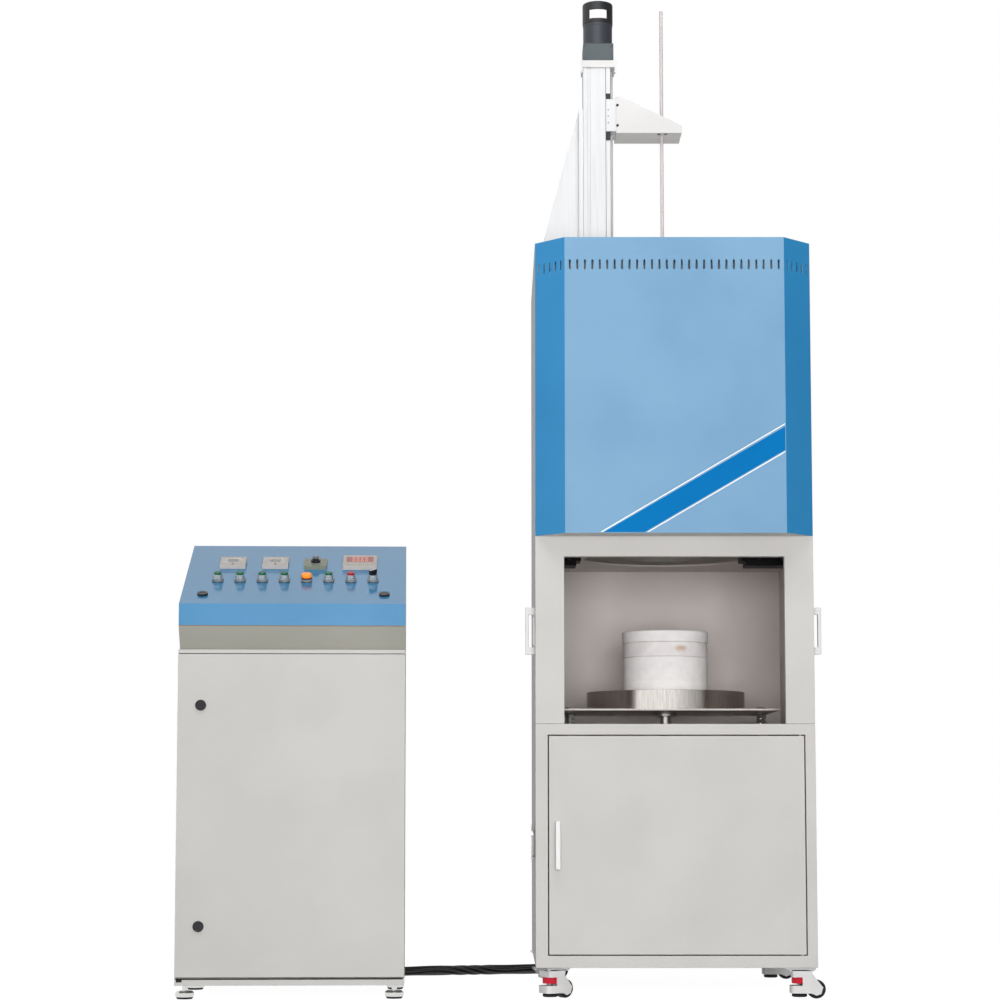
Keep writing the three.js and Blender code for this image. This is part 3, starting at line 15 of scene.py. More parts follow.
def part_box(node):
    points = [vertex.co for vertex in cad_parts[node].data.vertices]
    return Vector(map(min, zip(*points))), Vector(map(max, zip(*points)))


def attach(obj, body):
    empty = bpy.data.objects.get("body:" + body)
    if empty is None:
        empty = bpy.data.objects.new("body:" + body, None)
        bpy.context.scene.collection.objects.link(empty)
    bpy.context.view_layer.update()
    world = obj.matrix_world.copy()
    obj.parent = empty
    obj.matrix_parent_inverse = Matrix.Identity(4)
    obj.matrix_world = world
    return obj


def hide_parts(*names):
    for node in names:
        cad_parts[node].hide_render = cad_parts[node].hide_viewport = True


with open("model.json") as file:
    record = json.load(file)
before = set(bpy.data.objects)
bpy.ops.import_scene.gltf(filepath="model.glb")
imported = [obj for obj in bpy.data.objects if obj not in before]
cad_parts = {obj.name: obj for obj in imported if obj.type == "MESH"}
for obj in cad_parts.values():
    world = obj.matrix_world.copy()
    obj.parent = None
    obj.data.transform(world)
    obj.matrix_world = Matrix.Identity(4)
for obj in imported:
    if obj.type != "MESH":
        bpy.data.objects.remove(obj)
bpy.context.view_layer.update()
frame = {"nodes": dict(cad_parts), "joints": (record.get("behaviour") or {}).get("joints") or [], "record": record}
NODES = frame["nodes"]
BODY_OF = {
    node: body
    for body, members in frame["record"]["behaviour"]["bodies"].items()
    for node in members
}
JOINTS = {joint["name"]: joint for joint in frame["joints"]}

MM = 0.001


# Camera: fitted to the edges of the tower and the console
CAMERA_PLACE = (0.004678, -6.881, 0.539)
CAMERA_TILT = 95.53
CAMERA_LENS = 87.55
CAMERA_SENSOR = 36
CAMERA_SHIFT = 0.06
CAMERA_REACH = 60


def set_camera():
    lens = bpy.data.cameras.new("camera")
    lens.lens = CAMERA_LENS
    lens.sensor_width = CAMERA_SENSOR
    lens.shift_y = CAMERA_SHIFT
    lens.clip_end = CAMERA_REACH
    camera = bpy.data.objects.new("camera", lens)
    camera.location = CAMERA_PLACE
    camera.rotation_euler = (math.radians(CAMERA_TILT), 0, 0)
    bpy.context.scene.collection.objects.link(camera)
    bpy.context.scene.camera = camera


set_camera()


# Materials
NOISE_SPAN = (0.3, 0.7)     # nearly all of a noise pattern lies between these
CLOUD_SIZE = 260            # drifts of thicker and thinner coat
MOULD_GRAIN = 0.8           # spark-eroded texture, drawn coarser than its real 0.1
DIE_LINES = 1.6             # lines of the extrusion die, drawn coarser than their real 0.3
GRIT_AND_REFLECTION_STREAKS = 1.4          # belt grit of about 0.2, drawn as coarse as it needs to show; on the turned pan the same size sets its painted reflection streaks
SMEAR_SIZE = 42             # hand marks and uneven grinding
HAZE_SIZE = 3               # haze of plating and polishing, drawn coarser than its real 0.5
FIBRE_BLOTCHES = 34
FIBRE_GRAIN = 2.2           # matted lumps of fibre
SCORCH_PLACE = (0.5127, -0.078, 0.951)
SCORCH_EDGE = (24, 44)      # radii between which the stain fades
SCORCH_SHARE = 0.75
SCORCH_FLATNESS = 2.2
SCORCH_TONGUES = 12         # size of the tongues along its edge
SCORCH_RAGGED = 34          # how far they reach


def linear(hex_code):
    """An sRGB hex colour as linear red, green, blue and alpha."""
    parts = [int(hex_code[i:i + 2], 16) / 255 for i in (1, 3, 5)]
    return [c / 12.92 if c <= 0.04045 else ((c + 0.055) / 1.055) ** 2.4 for c in parts] + [1]


def add_node(tree, kind, inputs=None, **settings):
    """Adds a node with its settings, and gives each input named a value, a hex colour or a link."""
    node = tree.nodes.new("ShaderNode" + kind)
    for key, value in settings.items():
        setattr(node, key, value)
    for key, value in (inputs or {}).items():
        if isinstance(value, bpy.types.NodeSocket):
            tree.links.new(value, node.inputs[key])
        else:
            node.inputs[key].default_value = linear(value) if isinstance(value, str) else value
    return node


def empty_tree(owner):
    """The cleared node tree of a new material or world."""
    owner.use_nodes = True
    owner.node_tree.nodes.clear()
    return owner.node_tree


def new_material(name, inputs):
    """A material whose one Principled shader has the given inputs."""
    material = bpy.data.materials.new(name)
    tree = empty_tree(material)
    surface = add_node(tree, "BsdfPrincipled", inputs)
    add_node(tree, "OutputMaterial", {"Surface": surface.outputs["BSDF"]})
    return material, tree, surface


def millimetres(tree, stretch=(1, 1, 1)):
    """Object coordinates in millimetres, stretched for grain that runs one way."""
    place = add_node(tree, "TexCoord")
    scaled = add_node(tree, "VectorMath", {0: place.outputs["Object"], 1: [share / MM for share in stretch]},
                      operation="MULTIPLY")
    return scaled.outputs["Vector"]


def two_tone(tree, pattern, span, dark, light, most=1.0):
    """The colour that a pattern moves from dark towards light over a span of its values."""
    share = add_node(tree, "MapRange", {"Value": pattern, "From Min": span[0], "From Max": span[1],
                                        "To Max": most})
    tones = add_node(tree, "Mix", {0: share.outputs["Result"], 6: dark, 7: light}, data_type="RGBA")
    return tones.outputs[2]


def fine_grain(tree, surface, place, size, detail, roughness, depth=0.0, strength=0.5):
    """A grain of about size millimetres that varies the roughness and raises the surface by a depth."""
    noise = add_node(tree, "TexNoise", {"Vector": place, "Scale": 1 / size, "Detail": detail})
    pattern = noise.outputs["Fac"]
    low, high = NOISE_SPAN
    varied = add_node(tree, "MapRange", {"Value": pattern, "From Min": low, "From Max": high,
                                         "To Min": roughness[0], "To Max": roughness[1]})
    tree.links.new(varied.outputs["Result"], surface.inputs["Roughness"])
    if depth:
        relief = add_node(tree, "Bump", {"Height": pattern, "Distance": depth * MM, "Strength": strength})
        tree.links.new(relief.outputs["Normal"], surface.inputs["Normal"])
    return pattern


def powder_coat(name, light, dark, roughness=0.5, peel=3.0, peel_height=0.12, **shader):
    """Powder-coated sheet steel, oven-cured: a satin coat with fine orange peel and a faint cloudiness."""
    material, tree, surface = new_material(name, {"Roughness": roughness, **shader})
    place = millimetres(tree)
    cloud = add_node(tree, "TexNoise", {"Vector": place, "Scale": 1 / CLOUD_SIZE, "Detail": 3})
    colour = two_tone(tree, cloud.outputs["Fac"], (0.35, 0.65), dark, light)
    tree.links.new(colour, surface.inputs["Base Color"])
    fine_grain(tree, surface, place, peel, 2, (roughness - 0.06, roughness + 0.06), peel_height)
    return material


def smooth_plastic(name, colour, roughness=0.35, grain_size=MOULD_GRAIN):
    """Injection-moulded plastic: an even colour with a fine mould texture."""
    material, tree, surface = new_material(name, {"Base Color": colour, "Roughness": roughness})
    fine_grain(tree, surface, millimetres(tree), grain_size, 2, (roughness - 0.05, roughness + 0.05),
               0.03, 0.4)
    return material


def drawn_metal(name, light, dark, roughness=0.42, metallic=0.35, along=2):
    """Extruded, rolled or milled metal, anodised or plated: pale, with faint lines along its length."""
    material, tree, surface = new_material(name, {"Metallic": metallic})
    stretch = [1, 1, 1]
    stretch[along] = 0.01
    lines = fine_grain(tree, surface, millimetres(tree, stretch), DIE_LINES, 2,
                       (roughness - 0.08, roughness + 0.08), 0.04, 0.4)
    tree.links.new(two_tone(tree, lines, NOISE_SPAN, dark, light), surface.inputs["Base Color"])
    return material


def brushed_stainless(name, light, dark, roughness=0.32, stretch=(1, 1, 0.02), depth=0.03, vary=0.1):
    """Stainless steel, belt-ground or turned: streaks along the stretch given, which follow the tool's path on a
    ground plate and are painted reflection bands on the turned pan, and a dull shine.
    """
    material, tree, surface = new_material(name, {"Metallic": 1.0})
    streaks = fine_grain(tree, surface, millimetres(tree, stretch), GRIT_AND_REFLECTION_STREAKS, 3,
                         (roughness - vary, roughness + vary), depth)
    smears = add_node(tree, "TexNoise", {"Vector": millimetres(tree, (1, 1, 0.25)), "Scale": 1 / SMEAR_SIZE,
                                         "Detail": 3})
    ground = two_tone(tree, streaks, NOISE_SPAN, dark, light)
    smeared = two_tone(tree, smears.outputs["Fac"], (0.42, 0.68), ground, dark, 0.55)
    tree.links.new(smeared, surface.inputs["Base Color"])
    return material


def ground_chrome(name, colour="#d8d8d6", roughness=0.12):
    """Hard-chromed, zinc-plated or blackened steel: a mirror or a dull mirror with a faint haze."""
    material, tree, surface = new_material(name, {"Base Color": colour, "Metallic": 1.0})
    fine_grain(tree, surface, millimetres(tree), HAZE_SIZE, 2, (roughness * 0.6, roughness * 1.6))
    return material


def scorched(tree, place, colour, scorch):
    """The colour with a ragged scorch stain laid over it."""
    centre = [c / MM for c in SCORCH_PLACE]
    away = add_node(tree, "VectorMath", {0: place, 1: centre}, operation="SUBTRACT")
    flat = add_node(tree, "VectorMath", {0: away.outputs["Vector"], 1: (1, 1, SCORCH_FLATNESS)},
                    operation="MULTIPLY")
    reach = add_node(tree, "VectorMath", {0: flat.outputs["Vector"]}, operation="LENGTH")
    tongues = add_node(tree, "TexNoise", {"Vector": place, "Scale": 1 / SCORCH_TONGUES, "Detail": 4,
                                          "Roughness": 0.7})
    edge = add_node(tree, "Math", {0: tongues.outputs["Fac"], 1: SCORCH_RAGGED, 2: reach.outputs["Value"]},
                    operation="MULTIPLY_ADD")
    share = add_node(tree, "MapRange", {"Value": edge.outputs[0], "From Min": SCORCH_EDGE[0],
                                        "From Max": SCORCH_EDGE[1], "To Min": SCORCH_SHARE, "To Max": 0})
    stained = add_node(tree, "Mix", {0: share.outputs["Result"], 6: colour, 7: scorch}, data_type="RGBA")
    return stained.outputs[2]


def fired_refractory(name, clean, pale, scorch=None):
    """Vacuum-formed ceramic fibre, fired: chalky white, with a grainy skin and sometimes a scorch stain."""
    material, tree, surface = new_material(name, {"Roughness": 0.92})
    place = millimetres(tree)
    blotches = add_node(tree, "TexNoise", {"Vector": place, "Scale": 1 / FIBRE_BLOTCHES, "Detail": 4,
                                           "Roughness": 0.6})
    colour = two_tone(tree, blotches.outputs["Fac"], (0.35, 0.7), clean, pale)
    if scorch:
        colour = scorched(tree, place, colour, scorch)
    tree.links.new(colour, surface.inputs["Base Color"])
    grain = add_node(tree, "TexNoise", {"Vector": place, "Scale": 1 / FIBRE_GRAIN, "Detail": 4,
                                        "Roughness": 0.7})
    relief = add_node(tree, "Bump", {"Height": grain.outputs["Fac"], "Distance": 0.5 * MM, "Strength": 0.7})
    tree.links.new(relief.outputs["Normal"], surface.inputs["Normal"])
    return material


def glowing(name, colour, strength):
    """A lamp's lens or a lit display segment, moulded: glossy, and bright by its own light."""
    return new_material(name, {"Base Color": colour, "Emission Color": colour, "Emission Strength": strength,
                               "Roughness": 0.3})[0]


def clear_window(name):
    """Polycarbonate instrument window, moulded: thin, clear and glossy."""
    return new_material(name, {"Base Color": "#e8ecec", "Roughness": 0.05, "IOR": 1.58, "Alpha": 0.18})[0]


# Coats on sheet steel and castings: powder, or a sprayed enamel with a finer peel and more gloss
GREY_COAT = powder_coat("powder_coated_steel_grey", "#cac8c5", "#c4c2bf")
# The console's recess is the same grey coat drawn darker: painted shade under the lid's lip
RECESS_PAINTED_SHADE = powder_coat("powder_coated_steel_recess_painted_shade", "#b0afa6", "#aaa9a0")
INNER_COAT = powder_coat("powder_coated_steel_inner", "#d0c9c6", "#c6bfbc")
# The cover's one blue enamel is drawn in two tones: the front paler, as painted sheen, and the wings deeper and
# more saturated, as painted shade
FACE_BLUE_PAINTED_SHEEN = powder_coat("enamel_blue_front_painted_sheen", "#7aa3c3", "#739cbd", 0.42, 2.4)
WING_BLUE_PAINTED_SHADE = powder_coat("enamel_blue_wing_painted_shade", "#2b8cc6", "#2586c0", 0.42, 2.4)
LID_BLUE = powder_coat("sprayed_enamel_lid_blue", "#438bba", "#3d85b4", 0.15, 2.0, 0.01, IOR=1.65)
WHITE_CAST = powder_coat("enamelled_die_casting", "#e3e2e1", "#dad9d8", 0.35, 2.0)
DARK_DRIVE = powder_coat("gear_enamel_grey", "#525a5e", "#4b5357", 0.45)
MOTOR_BLACK = powder_coat("motor_enamel_black", "#353a40", "#2e3339", 0.4)
# Blackened in a hot bath: matt and nearly without a shine
BLACK_COAT = powder_coat("black_oxide_steel", "#161618", "#101012", 0.5, 3.0, 0.12, IOR=1.2)
# Printed film: an even satin colour
BAND_BLUE = powder_coat("printed_film_band", "#0072b4", "#006dae", 0.4, 2.4, IOR=1.25)
WHITE_LINE = powder_coat("printed_film_white", "#f2f4f6", "#ebeef0", 0.45)
# Bare and plated metals: drawn or ground with fine lines, or nearly mirrors
ALUMINIUM = drawn_metal("anodised_aluminium_extrusion", "#e5e6e7", "#d6d7d9", 0.45, 0.1)
# The mast's grooves are the same extrusion drawn darker: painted shade in the grooves
GROOVE_PAINTED_SHADE = drawn_metal("anodised_aluminium_groove_painted_shade", "#b4b6b8", "#a4a6a8", 0.5, 0.1)
ALUMINIUM_FLAT = drawn_metal("anodised_aluminium_plate", "#e3e4e5", "#dadbdc", 0.45, 0.1)
# The arm's underside is the same white enamel drawn lighter: painted light against the shade under the arm
ARM_UNDERSIDE_PAINTED_LIGHT = drawn_metal("arm_underside_painted_light", "#f1efec", "#dad8d5", 0.4, 0.1, 0)
BEZEL_CHROME = drawn_metal("satin_nickel_bezel", "#d6d6d4", "#c4c4c2", 0.25, 0.75)
SCREW_LIGHT = drawn_metal("rolled_screw_steel", "#e6e6e6", "#d2d2d2", 0.35, 0.4)
STAINLESS = brushed_stainless("ground_stainless_steel", "#f0eae7", "#c4bdb8")
# On the turned pan the streaks run upright, across the turning: painted reflection bands of the surroundings
HEARTH_STEEL_PAINTED_REFLECTIONS = brushed_stainless("turned_stainless_painted_reflections", "#efeae5", "#dad4ce", 0.2, (0.3, 0.3, 0.03), 0.003,
                                 0.03)
CHROME = ground_chrome("hard_chromed_shaft")
ZINC = ground_chrome("zinc_plated_steel", "#c4c5c6", 0.28)
SCREW_STEEL = ground_chrome("zinc_plated_screw", "#a9a9a6", 0.3)
DARK_SCREW = ground_chrome("black_oxide_screw", "#3a3a3c", 0.35)
# Furnace lining, chalky, and the sintered rod and elements, even and dull with a coarser grain
REFRACTORY = fired_refractory("ceramic_fibre_fired", "#f9f7f6", "#f1eded")
# The chamber's lining is the same fibre drawn dark grey: painted shade inside the furnace above the bay
CHAMBER_WALL_PAINTED_SHADE = fired_refractory("ceramic_fibre_chamber_painted_shade", "#a29d97", "#928d87")
REFRACTORY_STAINED = fired_refractory("ceramic_fibre_scorched", "#f6f3f2", "#e9e3e3", "#c9a585")
ROD_CERAMIC = smooth_plastic("sintered_alumina_rod", "#d3cac9", 0.6, 1.5)
ELEMENT = smooth_plastic("silicide_element", "#3b3d42", 0.55, 1.5)
# Mouldings: even colours with a soft shine, glossier where hands and eyes go
CAP_BLACK = smooth_plastic("moulded_abs_black", "#1a1c1f", 0.45)
WHITE_PLASTIC = smooth_plastic("moulded_nylon_white", "#eceaea")
BLACK_NYLON = smooth_plastic("moulded_nylon_black", "#1c1c1e", 0.5)
RED_NYLON = smooth_plastic("moulded_nylon_red", "#c4122d", 0.4)
GRIP_GREY = smooth_plastic("moulded_grip_grey", "#b4b5b6", 0.5)
GREEN_CAP = smooth_plastic("moulded_acetal_green", "#025f42", 0.4)
RED_CAP = smooth_plastic("moulded_acetal_red", "#a81827")
BLACK_KNOB = smooth_plastic("moulded_bakelite_black", "#17171a", 0.3)
BEZEL_GREY = smooth_plastic("moulded_bezel_grey", "#8d8f8c")
BEZEL_DARK = smooth_plastic("moulded_bezel_dark", "#4a4b4a", 0.4)
CASE_BEIGE = smooth_plastic("moulded_case_beige", "#c2bbb5", 0.45)
KEY_GREY = smooth_plastic("moulded_key_grey", "#b9b5ac", 0.5)
LAMP_FOOT = smooth_plastic("moulded_lamp_foot", "#5a1408", 0.4)
LAMP_ORANGE = glowing("moulded_lamp_lens", "#f58a1e", 0.35)
DISPLAY_DARK = smooth_plastic("tinted_display_window", "#a8544c", 0.3)
DISPLAY_RED = glowing("display_segment_red", "#e2a79c", 0.5)
WINDOW = clear_window("polycarbonate_window")
# Printed faces: the even skin of a thin plastic sheet or of paper
WHITE_LABEL = smooth_plastic("blank_paper_label", "#fbf3f1", 0.6)
DIAL_CREAM = smooth_plastic("printed_dial_face", "#dcd4d2", 0.6)
DIAL_GREY = smooth_plastic("printed_dial_grey", "#8f8a8c", 0.6)
PLATE_OLIVE = smooth_plastic("printed_switch_plate", "#86876f", 0.42)
MARK_BLACK = smooth_plastic("printed_mark_black", "#232326", 0.5)
MARK_WHITE = smooth_plastic("printed_mark_white", "#f4f4f2", 0.5)
# Rubbers and jackets: matt and dark
RUBBER = smooth_plastic("moulded_rubber", "#161617", 0.75, 1.2)
GASKET = smooth_plastic("extruded_gasket_brown", "#8d7c63", 0.7)
SEAL_BLACK = smooth_plastic("moulded_wiper_black", "#2b2c2e", 0.6)
WRAP_BLACK = smooth_plastic("lead_jacket_black", "#101012", 0.4)


# Mesh helpers, in millimetres
WELD = 1e-6
FLAT_WITHIN = math.radians(1)
EDGE_ANGLE = math.radians(25)
SMOOTH_ANGLE = 34
ON_AXIS = 1e-4
ORIGIN = Vector((0, 0, 0))


def weight_normals(mesh, angle):
    """Corner normals weighted by face area, so that broad flat faces stay flat in the light."""
    faces_at = {}
    for face in mesh.polygons:
        for vert in face.vertices:
            faces_at.setdefault(vert, []).append(face)
    limit = math.cos(math.radians(angle))
    normals = []
    for face in mesh.polygons:
        for vert in face.vertices:
            total = Vector()
            for other in faces_at[vert]:
                if other.normal.dot(face.normal) > limit:
                    total += other.normal * other.area
            normals.append(total.normalized() if total.length else face.normal)
    mesh.normals_split_custom_set(normals)


def link(name, mesh, material, body, smooth=True, angle=SMOOTH_ANGLE):
    """Makes an object of a mesh, smooths it by angle, and lets it ride on a body."""
    piece = bpy.data.objects.new(name, mesh)
    bpy.context.scene.collection.objects.link(piece)
    mesh.materials.append(material)
    if smooth:
        mesh.shade_smooth()
        weight_normals(mesh, angle)
    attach(piece, body)
    return piece


def mesh_of(work, name):
    """The finished mesh, with its faces turned outwards."""
    bmesh.ops.recalc_face_normals(work, faces=work.faces)
    mesh = bpy.data.meshes.new(name)
    work.to_mesh(mesh)
    work.free()
    return mesh


def bevel_edges(work, width, segments=2, least_length=0.0):
    """Rounds every edge that is sharper than the edge angle and longer than the least length."""
    if width <= 0:
        return
    edges = [e for e in work.edges if len(e.link_faces) == 2 and e.calc_face_angle(0.0) > EDGE_ANGLE
             and e.calc_length() > least_length * MM]
    bmesh.ops.bevel(work, geom=edges, offset=width * MM, segments=segments, profile=0.5,
                    affect="EDGES", clamp_overlap=True)


def add_box(work, low, high):
    for vert in bmesh.ops.create_cube(work, size=1.0)["verts"]:
        vert.co = [(low[axis] if vert.co[axis] < 0 else high[axis]) * MM for axis in range(3)]


def round_angles(steps):
    return [2 * math.pi * i / steps for i in range(steps)]


def around(axis, radius, angle, height):
    """A point at a radius and height in millimetres about an upright axis."""
    return axis + Vector((radius * math.cos(angle), radius * math.sin(angle), height)) * MM


def join_rings(work, rings, ends=False):
    """Lays faces from each ring of corners to the next, and over the two ends if asked."""
    for lower, upper in zip(rings, rings[1:]):
        for i in range(len(lower)):
            j = (i + 1) % len(lower)
            work.faces.new((lower[i], lower[j], upper[j], upper[i]))
    if ends:
        work.faces.new(rings[0][::-1])
        work.faces.new(rings[-1])


def rounded_profile(points, radius, steps=4):
    """The profile with its inner corners rounded, apart from its first and last points."""
    out = [points[0]]
    for before, corner, after in zip(points, points[1:], points[2:]):
        c = Vector(corner)
        first = Vector(before) - c
        second = Vector(after) - c
        reach = min(radius, first.length / 2.01, second.length / 2.01)
        start = c + first.normalized() * reach
        end = c + second.normalized() * reach
        for i in range(steps + 1):
            t = i / steps
            blended = start.lerp(c, t).lerp(c.lerp(end, t), t)
            out.append((max(blended.x, 0.0), blended.y))
    out.append(points[-1])
    return out


def turned_piece(name, profile, material, body, centre, turn=None, steps=72, round_by=0.0):
    """A piece turned about a local Z axis, closed where its profile meets the axis or itself."""
    if round_by > 0:
        profile = rounded_profile(profile, round_by)
    closed = profile[0] == profile[-1]
    place = Matrix.Translation(centre) @ (turn or Matrix.Identity(4))
    work = bmesh.new()
    rings = []
    for radius, height in profile[:-1] if closed else profile:
        angles = round_angles(steps) if radius > ON_AXIS else [0]
        rings.append([work.verts.new(place @ around(ORIGIN, radius, angle, height)) for angle in angles])
    if closed:
        rings.append(rings[0])
    for lower, upper in zip(rings, rings[1:]):
        if len(lower) == len(upper) > 1:
            join_rings(work, (lower, upper))
        elif len(lower) != len(upper):
            tip, rim = sorted((lower, upper), key=len)
            for i in range(steps):
                work.faces.new((tip[0], rim[i], rim[(i + 1) % steps]))
    return link(name, mesh_of(work, name), material, body)


def turned_node(node, name, profile, material, centre, turn=None, steps=72, round_by=0.0):
    """A turned piece that stands in a node's place, on its body."""
    piece = turned_piece(name, profile, material, BODY_OF[node], centre, turn, steps, round_by)
    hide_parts(node)


def dressed(node, material, bevel=0.0, least_length=6.0, segments=2):
    """A copy of a node's solid with its longer edges rounded, which stands in its place."""
    work = bmesh.new()
    work.from_mesh(NODES[node].data)
    bmesh.ops.remove_doubles(work, verts=work.verts, dist=WELD)
    bmesh.ops.dissolve_limit(work, angle_limit=FLAT_WITHIN, verts=work.verts, edges=work.edges)
    bevel_edges(work, bevel, segments, least_length)
    piece = link(f"{node}_skin", mesh_of(work, node), material, BODY_OF[node])
    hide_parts(node)
    return piece


def paint_faces(piece, material, test):
    """Gives a second material to the faces that a test of centre and normal picks."""
    mesh = piece.data
    mesh.materials.append(material)
    index = len(mesh.materials) - 1
    for face in mesh.polygons:
        if test(face.center, face.normal):
            face.material_index = index


def box_piece(name, low, high, place, material, body, bevel=0.0):
    """A block between two corners, rounded and then put in its place."""
    work = bmesh.new()
    add_box(work, low, high)
    bevel_edges(work, bevel)
    bmesh.ops.transform(work, matrix=place, verts=work.verts)
    return link(name, mesh_of(work, name), material, body)


def flat_piece(name, outline, thickness, place, material, body):
    """A thin plate of a flat outline in local X and Y, raised along local Z."""
    work = bmesh.new()
    rings = [[work.verts.new(Vector((x, y, z)) * MM) for x, y in outline] for z in (0, thickness)]
    join_rings(work, rings, ends=True)
    bmesh.ops.transform(work, matrix=place, verts=work.verts)
    return link(name, mesh_of(work, name), material, body, smooth=False)


def screws(name, places, radius, height, body, turn=None, material=SCREW_STEEL):
    """A set of cap screws' heads with their sockets, numbered from 1."""
    profile = [(0, height * 0.45), (radius * 0.5, height * 0.45), (radius * 0.5, height), (radius, height),
               (radius, 0), (0, 0)]
    for index, place in enumerate(places):
        turned_piece(f"{name}_{index + 1}", profile, material, body, place, turn, 24, radius * 0.12)


# Places on the two units, in millimetres from their front left corners
TOWER = Vector((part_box("base_cabinet")[0][0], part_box("base_cabinet")[0][1], 0))
TOWER_PLACE = Matrix.Translation(TOWER)
LOAD_AXIS = (375, 390)
CONSOLE_TURN = Matrix.Rotation(math.radians(2), 4, "Z")
CONSOLE_PLACE = Matrix.Translation(TOWER + Vector((-960, 0, 0)) * MM) @ CONSOLE_TURN
LIP_TOP = 1054
PANEL_SLOPE = math.atan2(1255 - LIP_TOP, 440)
PANEL_TURN = CONSOLE_TURN @ Matrix.Rotation(PANEL_SLOPE, 4, "X")
FRONTWARD = Matrix.Rotation(math.pi / 2, 4, "X")
LEFTWARD = Matrix.Rotation(-math.pi / 2, 4, "Y")
DOWNWARD = Matrix.Rotation(math.pi, 4, "X")


def tower(x, y, z):
    return TOWER + Vector((x, y, z)) * MM


def console(x, y, z):
    return CONSOLE_PLACE @ (Vector((x, y, z)) * MM)


PANEL = Matrix.Translation(console(0, 0, LIP_TOP)) @ PANEL_TURN


def on_panel(x, row):
    return PANEL @ (Vector((x, row, 0)) * MM)


def panel_box(name, x, row, width, height, low, high, material, body="lid", slot="lid_blue", bevel=0.0,
              turn=0.0):
    """A block on the sloping panel, turned in degrees about its middle."""
    place = PANEL @ Matrix.Translation(Vector((x, row, 0)) * MM) @ Matrix.Rotation(math.radians(turn), 4, "Z")
    return box_piece(name, (-width / 2, -height / 2, low), (width / 2, height / 2, high), place, material,
                     body, bevel)


def panel_disc(name, x, row, profile, material, steps=56, round_by=0.0):
    """A turned piece of the lid, square to the sloping panel."""
    return turned_piece(name, profile, material, "lid", on_panel(x, row), PANEL_TURN, steps, round_by)


# Cable bundle: its route lies where its solid does, and seven black leads are laid along it
CABLE_ROUTE = [
    (-0.3768, 0.1315, 0.07), (-0.3783, 0.172, 0.07), (-0.3796, 0.21, 0.066), (-0.38, 0.252, 0.053),
    (-0.3785, 0.296, 0.035), (-0.373, 0.34, 0.0205), (-0.361, 0.382, 0.0154), (-0.342, 0.42, 0.0154),
    (-0.314, 0.455, 0.0154), (-0.278, 0.482, 0.0154), (-0.236, 0.501, 0.0154), (-0.188, 0.514, 0.0154),
    (-0.138, 0.524, 0.0154), (-0.088, 0.534, 0.0154), (-0.038, 0.546, 0.0154), (0.012, 0.559, 0.0154),
    (0.062, 0.5685, 0.0154), (0.108, 0.577, 0.016), (0.154, 0.583, 0.0195), (0.197, 0.5845, 0.0275),
    (0.239, 0.581, 0.0395), (0.274, 0.572, 0.0545), (0.302, 0.5585, 0.0705), (0.324, 0.5395, 0.087),
    (0.34, 0.5165, 0.102), (0.3505, 0.4895, 0.1145), (0.3558, 0.464, 0.122), (0.3575, 0.444, 0.1248),
    (0.3577, 0.4303, 0.125),
]
LEADS = 7
LEAD_SIDES = 12
LEAD_RADIUS = 4.9 * MM
LEAD_LAY = 0.62             # metres for one turn of the lay
LEAD_WANDER = (0.8, 21)     # how far, in radians, and how often the lay strays


def route_samples(steps=6):
    """Points along the smooth line through the route, with their distances from its start."""
    route = [Vector(point) for point in CABLE_ROUTE]
    route = [2 * route[0] - route[1]] + route + [2 * route[-1] - route[-2]]
    samples = []
    for a, b, c, d in zip(route, route[1:], route[2:], route[3:]):
        for k in range(steps):
            t = k / steps
            samples.append(0.5 * (2 * b + (c - a) * t + (2 * a - 5 * b + 4 * c - d) * t * t
                                  + (3 * b - a - 3 * c + d) * t ** 3))
    samples.append(route[-2])
    reach = [0.0]
    for before, after in zip(samples, samples[1:]):
        reach.append(reach[-1] + (after - before).length)
    return samples, reach


def link_cable():
    samples, reach = route_samples()
    side = Vector((0, 0, 1))
    frames = []
    for index, point in enumerate(samples):
        ahead = samples[min(index + 1, len(samples) - 1)] - samples[max(index - 1, 0)]
        ahead.normalize()
        side = (side - ahead * side.dot(ahead)).normalized()
        frames.append((point, side, ahead.cross(side)))
    work = bmesh.new()
    for lead in range(LEADS):
        # The last lead runs through the middle of the others
        out = 0 if lead == LEADS - 1 else 2 * LEAD_RADIUS
        rings = []
        for (point, up, across), distance in zip(frames, reach):
            stray = LEAD_WANDER[0] * math.sin(LEAD_WANDER[1] * distance)
            angle = lead * math.pi / 3 + 2 * math.pi * distance / LEAD_LAY + stray
            centre = point + out * (math.cos(angle) * up + math.sin(angle) * across)
            rings.append([
                work.verts.new(centre + LEAD_RADIUS * (math.cos(turn) * up + math.sin(turn) * across))
                for turn in round_angles(LEAD_SIDES)])
        join_rings(work, rings, ends=True)
    cable = link("link_cable_bundle", mesh_of(work, "link_cable_bundle"), WRAP_BLACK, "frame")
    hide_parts("link_cable")


link_cable()


# Tower: cabinet, upper body, cover and door
INNER_SKIN = 1.2 * MM       # faces this far inside the upper body's sheets are its inside
FRONT_FRAME = 20 * MM
GRIP_DEPTH = 9 * MM


